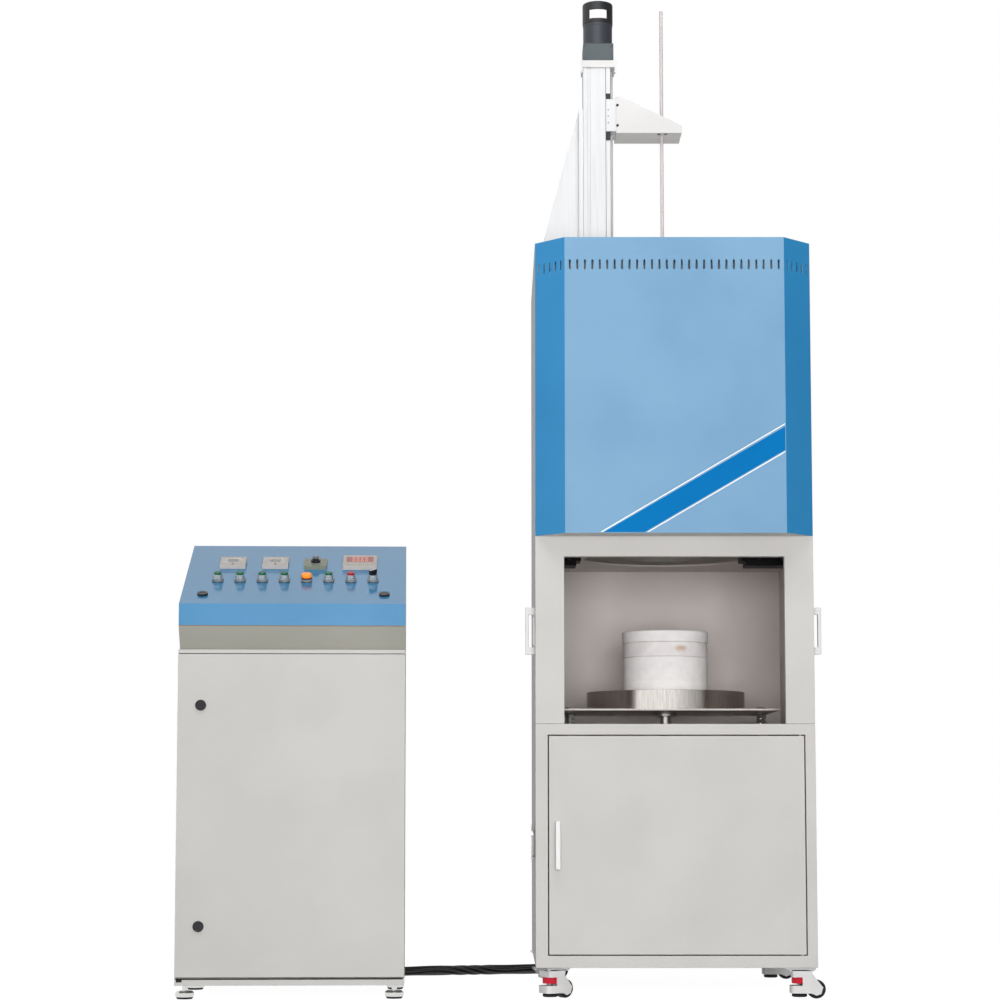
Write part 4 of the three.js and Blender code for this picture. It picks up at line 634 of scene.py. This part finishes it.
def tower_sheet_metal():
    dressed("base_cabinet", GREY_COAT, 1.4, 20)
    body = dressed("upper_body", GREY_COAT, 1.4, 20)
    low, high = (Vector(corner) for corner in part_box("upper_body"))
    paint_faces(body, INNER_COAT, lambda centre, normal: (
        low.x + INNER_SKIN < centre.x < high.x - INNER_SKIN and centre.z < high.z - INNER_SKIN
        and low.y + FRONT_FRAME < centre.y < high.y - INNER_SKIN))
    # The cover's front takes the paler blue: painted sheen
    cover = dressed("front_cover", FACE_BLUE_PAINTED_SHEEN, 1.2, 20)
    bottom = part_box("front_cover")[0][2]
    # The cover's wings take the deeper blue: painted shade
    paint_faces(cover, WING_BLUE_PAINTED_SHADE, lambda centre, normal: abs(normal.x) > 0.4 and normal.y < 0.1)
    paint_faces(cover, GREY_COAT, lambda centre, normal: normal.z < -0.6 and centre.z < bottom + 1 * MM)
    dressed("base_door", GREY_COAT, 1.6, 20)
    dressed("base_door_handle", WHITE_PLASTIC, 2.4, 3, 3)
    for node, sign in (("grab_handle_left", -1), ("grab_handle_right", 1)):
        near, far = (corner[0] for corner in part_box(node))
        grip = far - GRIP_DEPTH if sign > 0 else near + GRIP_DEPTH
        handle = dressed(node, WHITE_CAST, 1.0, 2)
        paint_faces(handle, GRIP_GREY, lambda centre, normal: (centre.x - grip) * sign > 0)


def cover_band():
    """Printed film band across the cover's lower corner, with two fine white lines."""
    place = Matrix.Translation(tower(0, -80, 0)) @ FRONTWARD
    stripes = (
        ("cover_band", BAND_BLUE, [(183, 1238.5), (291, 1238.5), (669, 1460), (669, 1523)]),
        ("cover_band_line_upper", WHITE_LINE, [(172, 1238.5), (178, 1238.5), (669, 1528.5), (669, 1532)]),
        ("cover_band_line_lower", WHITE_LINE, [(296, 1238.5), (302, 1238.5), (669, 1453.5), (669, 1457)]),
    )
    for name, material, outline in stripes:
        flat_piece(name, outline, 0.4, place, material, "frame")


def side_fan():
    """Black frame with a chromed wire guard, and its rotor."""
    dressed("fan_rotor", BLACK_NYLON, 0.5, 3)
    paint_faces(dressed("side_fan_frame", BLACK_NYLON), CHROME, lambda centre, normal: centre.x < TOWER.x)
    wire_radius, wire_height = 2.2, 7
    for index, radius in enumerate((16.2, 33.48, 51.84)):
        wire = [(radius + wire_radius * math.cos(angle), wire_height + wire_radius * math.sin(angle))
                for angle in round_angles(12)]
        turned_piece(f"fan_guard_ring_{index + 1}", wire + wire[:1], CHROME, "frame",
                     tower(0, 180, 408), LEFTWARD, 64)


tower_sheet_metal()
cover_band()
side_fan()


# Furnace above the bay, and the load that the lift carries
STOP_TOP = 1209 * MM
# Nuts have six sides and washers forty: low, high, radius and sides
GUIDE_NUTS = ((756.7, 767.7, 15, 6), (767.7, 770.7, 17, 40), (743.7, 754.7, 15, 6),
              (776.0, 779.0, 17, 40), (779.0, 788.0, 15, 6))


def furnace():
    frame_plate = dressed("furnace_base_frame", INNER_COAT, 0.8, 12)
    paint_faces(frame_plate, BLACK_COAT, lambda centre, normal: centre.z < STOP_TOP)
    # The lining's dark grey is painted shade
    dressed("insulation_block", CHAMBER_WALL_PAINTED_SHADE)
    elements = NODES["heating_elements"].data
    elements.materials.clear()
    elements.materials.append(ELEMENT)
    for side, x in (("left", 66), ("right", 655)):
        screws(f"stop_screw_{side}", [tower(x + shift, 170, 1192) for shift in (-32, 32)], 5, 4,
               "frame", FRONTWARD, DARK_SCREW)


def plug_profile(radius, low, high, chamfer, grooves=()):
    """A refractory disc with broken edges and shallow joint grooves."""
    points = [(0, low), (radius - chamfer, low), (radius, low + chamfer)]
    for height, depth in grooves:
        points += [(radius, height - depth), (radius - depth, height), (radius, height + depth)]
    return points + [(radius, high - chamfer), (radius - chamfer, high), (0, high)]


def lift_load():
    axis = tower(*LOAD_AXIS, 0)
    dressed("lift_plate", STAINLESS, 0.6, 12)
    pan = [(0, 825.3), (221, 825.3), (221, 776.3), (225, 776.3), (225, 829.3), (0, 829.3)]
    # The pan's upright streaks are painted reflections
    turned_node("hearth_disc", "hearth_pan", pan, HEARTH_STEEL_PAINTED_REFLECTIONS, axis, None, 160, 1.2)
    discs = (
        ("plug_base", plug_profile(120, 829.6, 927.6, 1.6, ((862, 1.0), (893, 0.5))), REFRACTORY, 0.8),
        ("plug_ring", plug_profile(120, 927.9, 968.4, 1.6), REFRACTORY_STAINED, 0.8),
        ("plug_cap", plug_profile(122, 968.7, 1000.7, 2.0), REFRACTORY, 1.0),
    )
    for node, profile, material, rounding in discs:
        turned_node(node, f"{node}_disc", profile, material, axis, None, 128, rounding)
    for side, x in (("left", 103), ("right", 647)):
        place = tower(x, LOAD_AXIS[1], 0)
        rod = [(0, 270.7), (9.4, 270.7), (10, 271.3), (10, 770.7), (0, 770.7)]
        turned_node(f"guide_rod_{side}", f"guide_rod_{side}_shaft", rod, CHROME, place, None, 40)
        for index, (low, high, radius, sides) in enumerate(GUIDE_NUTS):
            nut = [(0, low), (radius - 1, low), (radius, low + 1), (radius, high - 1), (radius - 1, high),
                   (0, high)]
            turned_piece(f"guide_nut_{side}_{index + 1}", nut, ZINC, "lift_table", place,
                         Matrix.Rotation(0.35, 4, "Z"), sides)
    column = [(0, 180.7), (15, 180.7), (16, 181.7), (16, 762.7), (33, 762.7), (33, 770.7), (0, 770.7)]
    turned_node("lift_column", "lift_column_shaft", column, CHROME, axis, None, 48, 0.8)
    corners = [around(axis, 26, math.radians(angle), 762.7) for angle in (45, 135, 225, 315)]
    screws("flange_screw", corners, 3.6, 4, "lift_table", DOWNWARD)
    dressed("lift_actuator", DARK_DRIVE, 1.6, 16)


furnace()
lift_load()


# Mast with its linear drive
RAIL_LOW, RAIL_HIGH = 2060, 2637
HEAD_PLATE = 2621
MAST_FACE = 345
GROOVE_RIGHT = 208          # the grooves left of this line are painted darker, as painted shade
GROOVE_DEPTHS = (0.3, 6)
SCREW_AXIS = (229, 390)
MOTOR_AXIS = (190, 390)
THREAD_RADIUS = 4.1
THREAD_DEPTH = 0.4
THREAD_PITCH = 5
THREAD_STARTS = 5
THREAD_STEP = 1.25


def lead_screw():
    """Five-start rolled screw with a 25 mm lead."""
    axis = tower(*SCREW_AXIS, 0)
    low, high = (corner[2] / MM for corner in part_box("mast_screw"))
    work = bmesh.new()
    rings = []
    for k in range(int((high - low) / THREAD_STEP) + 1):
        height = low + k * THREAD_STEP
        ring = []
        for angle in round_angles(20):
            wave = math.cos(2 * math.pi * height / THREAD_PITCH - THREAD_STARTS * angle)
            ring.append(work.verts.new(around(axis, THREAD_RADIUS + THREAD_DEPTH * wave, angle, height)))
        rings.append(ring)
    join_rings(work, rings, ends=True)
    screw = link("lead_screw_thread", mesh_of(work, "lead_screw"), SCREW_LIGHT, "lead_screw",
                 angle=60)
    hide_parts("mast_screw")


def motor_label(axis):
    """Blank label bent around the front of the motor's cap."""
    wrap, columns = math.radians(34), 12
    work = bmesh.new()
    rings = []
    for i in range(columns + 1):
        angle = -math.pi / 2 - wrap + 2 * wrap * i / columns
        rings.append([work.verts.new(around(axis, radius, angle, height))
                      for radius, height in ((43.9, 2787), (44.2, 2787), (44.2, 2812), (43.9, 2812))])
    join_rings(work, rings, ends=True)
    link("mast_motor_label", mesh_of(work, "mast_motor_label"), WHITE_LABEL, "frame")


def mast():
    profile = dressed("mast_profile", ALUMINIUM, 0.8, 14)
    front, right = tower(0, MAST_FACE, 0).y, tower(GROOVE_RIGHT, 0, 0).x
    shallow, deep = (depth * MM for depth in GROOVE_DEPTHS)
    # The front grooves are drawn darker: painted shade
    paint_faces(profile, GROOVE_PAINTED_SHADE, lambda centre, normal: (
        front + shallow < centre.y < front + deep and centre.x < right
        and RAIL_LOW * MM < centre.z < RAIL_HIGH * MM))
    paint_faces(profile, WHITE_CAST, lambda centre, normal: centre.z > HEAD_PLATE * MM)
    # A thin black strip along the rail's left edge, where a dark line runs
    box_piece("mast_rail_dark_strip", (210.2, 344.6, RAIL_LOW), (211.5, 345.6, RAIL_HIGH), TOWER_PLACE, SEAL_BLACK,
              "frame")
    box_piece("mast_groove_cover", (158.8, 345.6, RAIL_LOW), (165.7, 347.6, RAIL_HIGH), TOWER_PLACE,
              ALUMINIUM, "frame")
    dressed("mast_brace", ALUMINIUM_FLAT, 1.0, 12)
    dressed("mast_gearbox", DARK_DRIVE, 2.2, 16, 3)
    corners = [tower(x, 346, z) for z in (2665, 2704) for x in (153, 227)]
    screws("gearbox_screw", corners, 3.4, 1.6, "frame", FRONTWARD, DARK_DRIVE)
    axis = tower(*MOTOR_AXIS, 0)
    motor = [(0, 2711.6), (43, 2711.6), (43, 2716), (42.3, 2717), (42.3, 2768), (43, 2769), (43, 2775.8),
             (0, 2775.8)]
    turned_node("mast_motor", "mast_motor_body", motor, MOTOR_BLACK, axis, None, 96, 0.6)
    cap = [(0, 2775.8), (43.4, 2775.8), (44, 2777), (44, 2838.6), (0, 2838.6)]
    turned_piece("mast_motor_cap", cap, CAP_BLACK, "frame", axis, None, 96, 5.0)
    motor_label(axis)
    lead_screw()


def carriage_and_arm():
    dressed("mast_carriage", ALUMINIUM_FLAT, 0.8, 8)
    for name, low, high in (("upper", 2543.4, 2560.3), ("lower", 2422.7, 2448.6)):
        box_piece(f"carriage_wiper_{name}", (211.3, 340.7, low), (224.3, 344.5, high), TOWER_PLACE,
                  SEAL_BLACK, "carriage", 0.8)
    screws("carriage_screw", [tower(218, 341, z) for z in (2474, 2493, 2512)], 2.4, 1.2, "carriage",
           FRONTWARD)
    arm = dressed("mast_arm", WHITE_CAST, 1.0, 6)
    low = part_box("mast_arm")[0][2]
    # The underside takes the lighter tone: painted light
    paint_faces(arm, ARM_UNDERSIDE_PAINTED_LIGHT, lambda centre, normal: normal.z < -0.6 and centre.z < low + 1 * MM)
    screws("arm_screw", [tower(245, 350, z) for z in (2468, 2528)], 4.0, 2.2, "carriage",
           FRONTWARD, DARK_SCREW)
    screws("rod_clamp_screw", [tower(x, 362, 2446) for x in (365, 385)], 4.4, 1.6, "carriage",
           DOWNWARD, DARK_SCREW)
    rod = [(0, 1760), (4.2, 1760), (5, 1761), (5, 2819), (4.2, 2820), (0, 2820)]
    turned_node("push_rod", "probe_rod", rod, ROD_CERAMIC, tower(*LOAD_AXIS, 0), None, 32)


mast()
carriage_and_arm()


# Levelling casters
TOP_PLATE = 77.5            # underside of the zinc-plated top plate
BALL_RACE = 73.9            # underside of the black race below it
THUMBWHEEL_TEETH = 8
THUMBWHEEL_NOTCH = 1.8


def caster(corner):
    name, wheel_body = f"caster_{corner}", f"wheel_{corner}"
    housing = dressed(f"{name}_housing", WHITE_CAST, 2.4, 7, 3)
    paint_faces(housing, ZINC, lambda centre, normal: centre.z > TOP_PLATE * MM)
    paint_faces(housing, BLACK_NYLON, lambda centre, normal: BALL_RACE * MM < centre.z < TOP_PLATE * MM)
    axis = Vector(JOINTS[f"swivel_{corner}"]["pos_m"])
    hub = Vector(JOINTS[f"roll_{corner}"]["pos_m"])
    axle = Vector(JOINTS[f"roll_{corner}"]["axis"]).normalized()
    turn = axle.to_track_quat("Z", "Y").to_matrix().to_4x4()
    tyre = [(17, -10), (23, -11), (25, -8), (25, 8), (23, 11), (17, 10), (17, 8), (14, 7), (14, -7), (17, -8),
            (17, -10)]
    turned_node(f"{name}_wheel", f"{name}_tyre", tyre, RUBBER, hub, turn, 64)
    rim = [(5.3, -9), (14.5, -9), (15, -8), (15, 8), (14.5, 9), (5.3, 9), (5.3, -9)]
    turned_piece(f"{name}_hub", rim, BLACK_NYLON, wheel_body, hub, turn, 48)
    rivet = [(0, 13.5), (3.2, 13.5), (3.2, 15.4), (6.4, 15.4), (7.2, 14.6), (7.2, 12.5), (0, 12.5)]
    for end, facing in (("a", turn), ("b", turn @ DOWNWARD)):
        turned_piece(f"{name}_axle_{end}", rivet, ZINC, name, hub, facing, 32)
    heading = Matrix.Rotation(math.atan2(hub.y - axis.y, hub.x - axis.x), 4, "Z")
    for index, (x, y) in enumerate(((-30, -30), (-30, 30), (30, -30), (30, 30))):
        place = Vector((axis.x, axis.y, 77.7 * MM)) + heading @ (Vector((x, y, 0)) * MM)
        turned_piece(f"{name}_bolt_{index + 1}", [(0, 0), (5, 0), (5, 3.6), (0, 3.6)], ZINC, name,
                     place, DOWNWARD, 6)


def caster_foot(corner):
    """Rubber pad and threaded stem, with the red thumbwheel that screws them down."""
    name, body = f"caster_{corner}", f"foot_{corner}"
    low, high = (Vector(c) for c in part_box(f"{name}_foot"))
    axis = Vector(((low.x + high.x) / 2, (low.y + high.y) / 2, 0))
    pad = [(0, 4.5), (18, 4.5), (20.5, 6.6), (20.3, 11.4), (17, 14.2), (0, 14.2)]
    turned_node(f"{name}_foot", f"{name}_pad", pad, RUBBER, axis, None, 56, 0.8)
    stem = [(0, 13.5), (6, 13.5), (6, 56), (0, 56)]
    turned_piece(f"{name}_stem", stem, SCREW_STEEL, body, axis, None, 24)
    work = bmesh.new()
    rings = []
    for radius, height in ((5, 39.9), (19.6, 39.9), (21, 41.6), (21, 54.4), (19.6, 56.1), (5, 56.1)):
        notch = THUMBWHEEL_NOTCH if radius > 10 else 0
        ring = []
        for angle in round_angles(96):
            reach = radius - notch * max(0.0, math.cos(THUMBWHEEL_TEETH * angle)) ** 3
            ring.append(work.verts.new(around(axis, reach, angle, height)))
        rings.append(ring)
    join_rings(work, rings + rings[:1])
    link(f"{name}_thumbwheel", mesh_of(work, "thumbwheel"), RED_NYLON, body, angle=50)


for corner_name in ("front_left", "front_right", "rear_left", "rear_right"):
    caster(corner_name)
    caster_foot(corner_name)


# Console: body, door and lid
RECESS_LOW = 880
FOOT_PLATE_TOP = 35.5
FOOT_PAD_TOP = 5.6
FIRST_CONTROL, CONTROL_PITCH, CONTROL_ROW = 90.8, 61.2, 183
CAM_PLACE = (355.8, 308)
METER_ROW = 317
AMMETER_X, VOLTMETER_X = 124.1, 243.1
CONTROLLER_PLACE = (480.2, 322)
DIGIT_PITCH = 12


def console_sheet_metal():
    body = dressed("console_body", GREY_COAT, 1.2, 16)
    # The recess below the lid takes the darker coat: painted shade
    paint_faces(body, RECESS_PAINTED_SHADE, lambda centre, normal: (
        centre.z > RECESS_LOW * MM and normal.y < -0.3 and normal.z < -0.15))
    paint_faces(body, CHROME, lambda centre, normal: centre.z < FOOT_PLATE_TOP * MM)
    paint_faces(body, RUBBER, lambda centre, normal: centre.z < FOOT_PAD_TOP * MM)
    dressed("console_door", GREY_COAT, 1.4, 20)
    dressed("console_lid", LID_BLUE, 1.4, 40)
    strips = (("lid_gasket", (1.2, -0.4, 992.3), (608.8, 3, 995.2), GASKET, 0.6),
              # A black strip under the door's bottom edge: painted shadow of the gap
              ("door_gap_painted_shadow", (3, -0.5, 51.5), (607, 2, 55.5), RUBBER, 0),
              # A black inset in the plinth's slot: painted shade inside the hole
              ("plinth_slot", (5, -0.4, 45), (20, 1, 54), RUBBER, 0))
    for name, low, high, material, bevel in strips:
        box_piece(name, low, high, CONSOLE_PLACE, material, "frame", bevel)


def panel_lock(name, centre, turn):
    """Black quarter-turn lock: a domed rim round a slotted plug."""
    dressed(name, BLACK_KNOB, 0.4, 2)
    rim = [(9.3, 0.4), (14.7, 0.4), (14.7, 4.4), (13.2, 6.3), (10.4, 6.3), (9.3, 5.4), (9.3, 0.4)]
    turned_piece(f"{name}_rim", rim, BLACK_KNOB, BODY_OF[name], centre, turn, 56, 0.5)


def control(name, place):
    """A panel control's square-edged bezel on the lid, and where it stands."""
    x, row = FIRST_CONTROL + CONTROL_PITCH * place, CONTROL_ROW
    bezel = [(12.3, 0.1), (15.2, 0.1), (15.2, 6.8), (14.2, 8.1), (12.3, 8.1), (12.3, 0.1)]
    panel_disc(f"{name}_bezel", x, row, bezel, BEZEL_GREY, round_by=0.4)
    panel_box(f"{name}_bezel_base", x, row, 30.4, 30.4, 0.05, 2.6, BEZEL_DARK, bevel=0.6)
    return x, row


def bright_collar(name, x, row):
    collar = [(10.95, 8.0), (12.65, 8.0), (11.8, 19.2), (11.3, 20.15), (10.95, 20.15), (10.95, 8.0)]
    panel_disc(f"{name}_collar", x, row, collar, BEZEL_CHROME, round_by=0.3)


def push_button(index, place, material):
    name = f"button_{index}"
    x, row = control(name, place)
    bright_collar(name, x, row)
    cap = [(0, -8), (10.3, -8), (10.3, 24.4), (9.4, 25.6), (7.6, 26), (0, 26)]
    turned_node(f"push_{name}", f"{name}_cap", cap, material, on_panel(x, row), PANEL_TURN, 56, 0.5)


def lamp(place):
    x, row = control("lamp", place)
    foot = [(12.3, 8.0), (14.3, 8.0), (14.3, 12.6), (12.3, 12.6), (12.3, 8.0)]
    panel_disc("lamp_foot", x, row, foot, LAMP_FOOT)
    lens = [(0, 12.2), (14.1, 12.2), (14.1, 19.4), (12.8, 21.6), (10.2, 22.6), (0, 22.7)]
    panel_disc("lamp_lens", x, row, lens, LAMP_ORANGE, round_by=0.8)


def selector(place):
    x, row = control("selector", place)
    bright_collar("selector", x, row)
    drum = [(0, -8), (10.3, -8), (10.3, 21), (9.6, 21.8), (0, 21.8)]
    turned_node("selector_switch", "selector_drum", drum, BLACK_KNOB, on_panel(x, row), PANEL_TURN, 48, 0.4)
    panel_box("selector_grip", x, row, 9, 24, 20.3, 33.9, BLACK_KNOB, "selector", "knob_black", 1.6, -45)
    panel_box("selector_mark", x, row, 4, 21, 33.6, 34, MARK_WHITE, "selector", "knob_black", 0, -45)


def cam_switch():
    """Olive face plate with three marks, and a knob with a straight grip."""
    x, row = CAM_PLACE
    panel_box("cam_plate_face", x, row, 63.4, 63.4, 0.1, 12.2, PLATE_OLIVE, bevel=1.2)
    ring = [(9, 12.1), (20, 12.1), (20, 12.9), (18.8, 13.2), (9, 13.2), (9, 12.1)]
    panel_disc("cam_plate_ring", x, row, ring, BEZEL_GREY)
    skirt = [(0, 13.3), (14, 13.3), (14, 18), (13, 19.2), (0, 19.2)]
    turned_node("cam_switch_knob", "cam_knob_skirt", skirt, BLACK_KNOB, on_panel(x, row), PANEL_TURN, 56, 0.5)
    panel_box("cam_knob_grip", x, row, 17.6, 26, 16, 26.7, BLACK_KNOB, "cam_knob", "knob_black", 2.4)
    panel_box("cam_knob_mark", x, row + 9.5, 3, 5, 26.5, 26.8, MARK_WHITE, "cam_knob", "knob_black")
    for index, angle in enumerate((-60, 0, 60)):
        across, up = 26 * math.sin(math.radians(angle)), 26 * math.cos(math.radians(angle))
        panel_box(f"cam_plate_mark_{index + 1}", x + across, row + up, 2.2, 5, 12.1, 12.45, MARK_BLACK)


def panel_meter(node, x):
    """Moving-coil meter: beige case, cream dial with an arc of ticks, needle and zero screw."""
    row = METER_ROW
    dressed(node, CASE_BEIGE, 1.6, 12)
    panel_box(f"{node}_dial", x, row + 5, 51.6, 41.6, 10.4, 10.7, DIAL_CREAM, "lid", "meter_case")
    panel_box(f"{node}_dial_scale", x, row + 7, 28, 24, 10.6, 10.8, DIAL_GREY, "lid", "meter_case")
    panel_box(f"{node}_window", x, row + 5, 52, 42, 11.3, 11.7, WINDOW, "lid", "meter_case")
    pivot = PANEL @ Matrix.Translation(Vector((x, row - 11, 0)) * MM)
    for index in range(21):
        place = pivot @ Matrix.Rotation(math.radians(-45 + 4.5 * index), 4, "Z")
        reach = 30 if index % 5 == 0 else 28
        box_piece(f"{node}_tick_{index + 1}", (-0.4, 25, 10.7), (0.4, reach, 10.95), place, MARK_BLACK,
                  "lid")
    box_piece(f"{node}_needle", (-0.35, 0, 10.9), (0.35, 27, 11.1),
              pivot @ Matrix.Rotation(math.radians(44), 4, "Z"), MARK_BLACK, "lid")
    zero = [(0, 11.9), (3, 11.9), (3, 12.7), (0, 12.7)]
    panel_disc(f"{node}_zero_screw", x, row - 26, zero, MARK_BLACK, 24)


SEGMENTS = {"top": (0, 6, 5, 1.2), "middle": (0, 0, 5, 1.2), "bottom": (0, -6, 5, 1.2),
            "upper_left": (-3, 3, 1.2, 5), "upper_right": (3, 3, 1.2, 5),
            "lower_left": (-3, -3, 1.2, 5), "lower_right": (3, -3, 1.2, 5)}
DIGITS = {"0": ("top", "bottom", "upper_left", "upper_right", "lower_left", "lower_right"),
          "2": ("top", "middle", "bottom", "upper_right", "lower_left"),
          "5": ("top", "middle", "bottom", "upper_left", "lower_right")}


def digits(name, text, x, row, material):
    """A row of seven-segment digits."""
    work = bmesh.new()
    for index, digit in enumerate(text):
        for segment in DIGITS[digit]:
            across, up, width, height = SEGMENTS[segment]
            across += x + (index - (len(text) - 1) / 2) * DIGIT_PITCH
            add_box(work, (across - width / 2, row + up - height / 2, 10.8),
                    (across + width / 2, row + up + height / 2, 11.1))
    bmesh.ops.transform(work, matrix=PANEL, verts=work.verts)
    link(name, mesh_of(work, name), material, "lid", smooth=False)


def temperature_controller():
    """Beige case with a tinted display of two rows of digits above four keys."""
    x, row = CONTROLLER_PLACE
    case = ("lid", "controller_case")
    dressed("temperature_controller", CASE_BEIGE, 1.6, 12)
    panel_box("controller_window", x, row + 14, 75.6, 47.6, 10.4, 10.8, DISPLAY_DARK, *case)
    digits("controller_digits_upper", "0025", x, row + 25, DISPLAY_RED)
    digits("controller_digits_lower", "0000", x, row + 5, DISPLAY_RED)
    panel_box("controller_key_strip", x, row - 28, 80, 28, 11.8, 12.3, KEY_GREY, *case, 0.2)
    for index, shift in enumerate((-27, -9, 9, 27)):
        panel_box(f"controller_key_{index + 1}", x + shift, row - 28, 13, 10, 12.2, 13.2, CASE_BEIGE, *case,
                  0.5)


console_sheet_metal()
for button, button_place in enumerate((0, 1, 2, 3, 5)):
    push_button(button + 1, button_place, GREEN_CAP)
push_button(6, 6, RED_CAP)
lamp(4)
selector(7)
cam_switch()
panel_meter("ammeter", AMMETER_X)
panel_meter("voltmeter", VOLTMETER_X)
temperature_controller()
for lock_name, lock_z in (("door_lock_upper", 780), ("door_lock_lower", 192)):
    panel_lock(lock_name, console(62, 0, lock_z), CONSOLE_TURN @ FRONTWARD)
for lock_name, lock_x in (("lid_lock_left", 58), ("lid_lock_right", 552)):
    panel_lock(lock_name, on_panel(lock_x, 69), PANEL_TURN)


# Studio: pale floor, white surroundings, one large soft light in front and weaker ones at the sides and above
FLOOR_REACH = 9
FLOOR_WHITE = 1.28          # strength of the white that the camera and mirrors see over the shaded floor
FLOOR_WHITE_SHARE = 0.75    # its share, which leaves the object's shadow
AMBIENT = 0.14              # what the white surroundings give as light
LAMPS = (
    ("front_softbox", (0.4, -7.2, 0.9), (0.0, 0.0, 1.15), (3.0, 2.0), 375),
    ("left_softbox", (-4.4, -2.4, 2.0), (0.2, 0.0, 1.2), (1.6, 2.4), 9),
    ("right_softbox", (4.6, -2.4, 2.0), (0.2, 0.0, 1.2), (1.6, 2.4), 9),
    ("top_softbox", (0.0, -2.6, 4.6), (0.0, 0.0, 1.4), (3.0, 2.0), 62),
)


def studio_floor():
    material = bpy.data.materials.new("painted_studio_floor")
    tree = empty_tree(material)
    path = add_node(tree, "LightPath")
    shade = add_node(tree, "Mix", {0: path.outputs["Is Camera Ray"], 6: "#b4b4b4", 7: "#ffffff"},
                     data_type="RGBA")
    diffuse = add_node(tree, "BsdfDiffuse", {"Color": shade.outputs[2]})
    white = add_node(tree, "Emission", {"Color": "#ffffff", "Strength": FLOOR_WHITE})
    seen = add_node(tree, "Math", {0: path.outputs["Is Camera Ray"], 1: path.outputs["Is Glossy Ray"]},
                    operation="MAXIMUM")
    share = add_node(tree, "Math", {0: seen.outputs[0], 1: FLOOR_WHITE_SHARE}, operation="MULTIPLY")
    mixed = add_node(tree, "MixShader", {0: share.outputs[0], 1: diffuse.outputs[0], 2: white.outputs[0]})
    add_node(tree, "OutputMaterial", {"Surface": mixed.outputs[0]})
    mesh = bpy.data.meshes.new("studio_floor")
    corners = [(x * FLOOR_REACH, y * FLOOR_REACH, 0) for x, y in ((-1, -1), (1, -1), (1, 1), (-1, 1))]
    mesh.from_pydata(corners, [], [(0, 1, 2, 3)])
    mesh.materials.append(material)
    floor = bpy.data.objects.new("studio_floor", mesh)
    bpy.context.scene.collection.objects.link(floor)


def surroundings():
    """White where the camera or a mirror sees them, and darker in mirrors that face right."""
    world = bpy.data.worlds.new("studio_world")
    bpy.context.scene.world = world
    tree = empty_tree(world)
    path = add_node(tree, "LightPath")
    camera_ray, window_ray = path.outputs["Is Camera Ray"], path.outputs["Is Transmission Ray"]
    direct = add_node(tree, "Math", {0: camera_ray, 1: window_ray}, operation="MAXIMUM")
    heading = add_node(tree, "TexCoord")
    split = add_node(tree, "SeparateXYZ", {0: heading.outputs["Generated"]})
    mirrored = add_node(tree, "MapRange", {"Value": split.outputs["X"], "From Min": 0.1, "From Max": 0.8,
                                           "To Min": 1.0, "To Max": 0.1})
    reflected = add_node(tree, "Math", {0: path.outputs["Is Glossy Ray"], 1: mirrored.outputs["Result"]},
                         operation="MULTIPLY")
    seen = add_node(tree, "Math", {0: direct.outputs[0], 1: reflected.outputs[0]}, operation="MAXIMUM")
    strength = add_node(tree, "MapRange", {"Value": seen.outputs[0], "To Min": AMBIENT, "To Max": 1.0})
    background = add_node(tree, "Background", {"Color": "#ffffff", "Strength": strength.outputs["Result"]})
    add_node(tree, "OutputWorld", {"Surface": background.outputs[0]})


def soft_lights():
    """The front light is hidden from mirrors, which show the white surroundings instead."""
    for name, place, aim, size, power in LAMPS:
        light = bpy.data.lights.new(name, "AREA")
        light.shape = "RECTANGLE"
        light.size, light.size_y = size
        light.energy = power
        holder = bpy.data.objects.new(name, light)
        holder.location = place
        holder.rotation_euler = (Vector(aim) - Vector(place)).to_track_quat("-Z", "Y").to_euler()
        holder.visible_glossy = name != "front_softbox"
        bpy.context.scene.collection.objects.link(holder)


bpy.context.scene.view_settings.view_transform = "Standard"
studio_floor()
surroundings()
soft_lights()
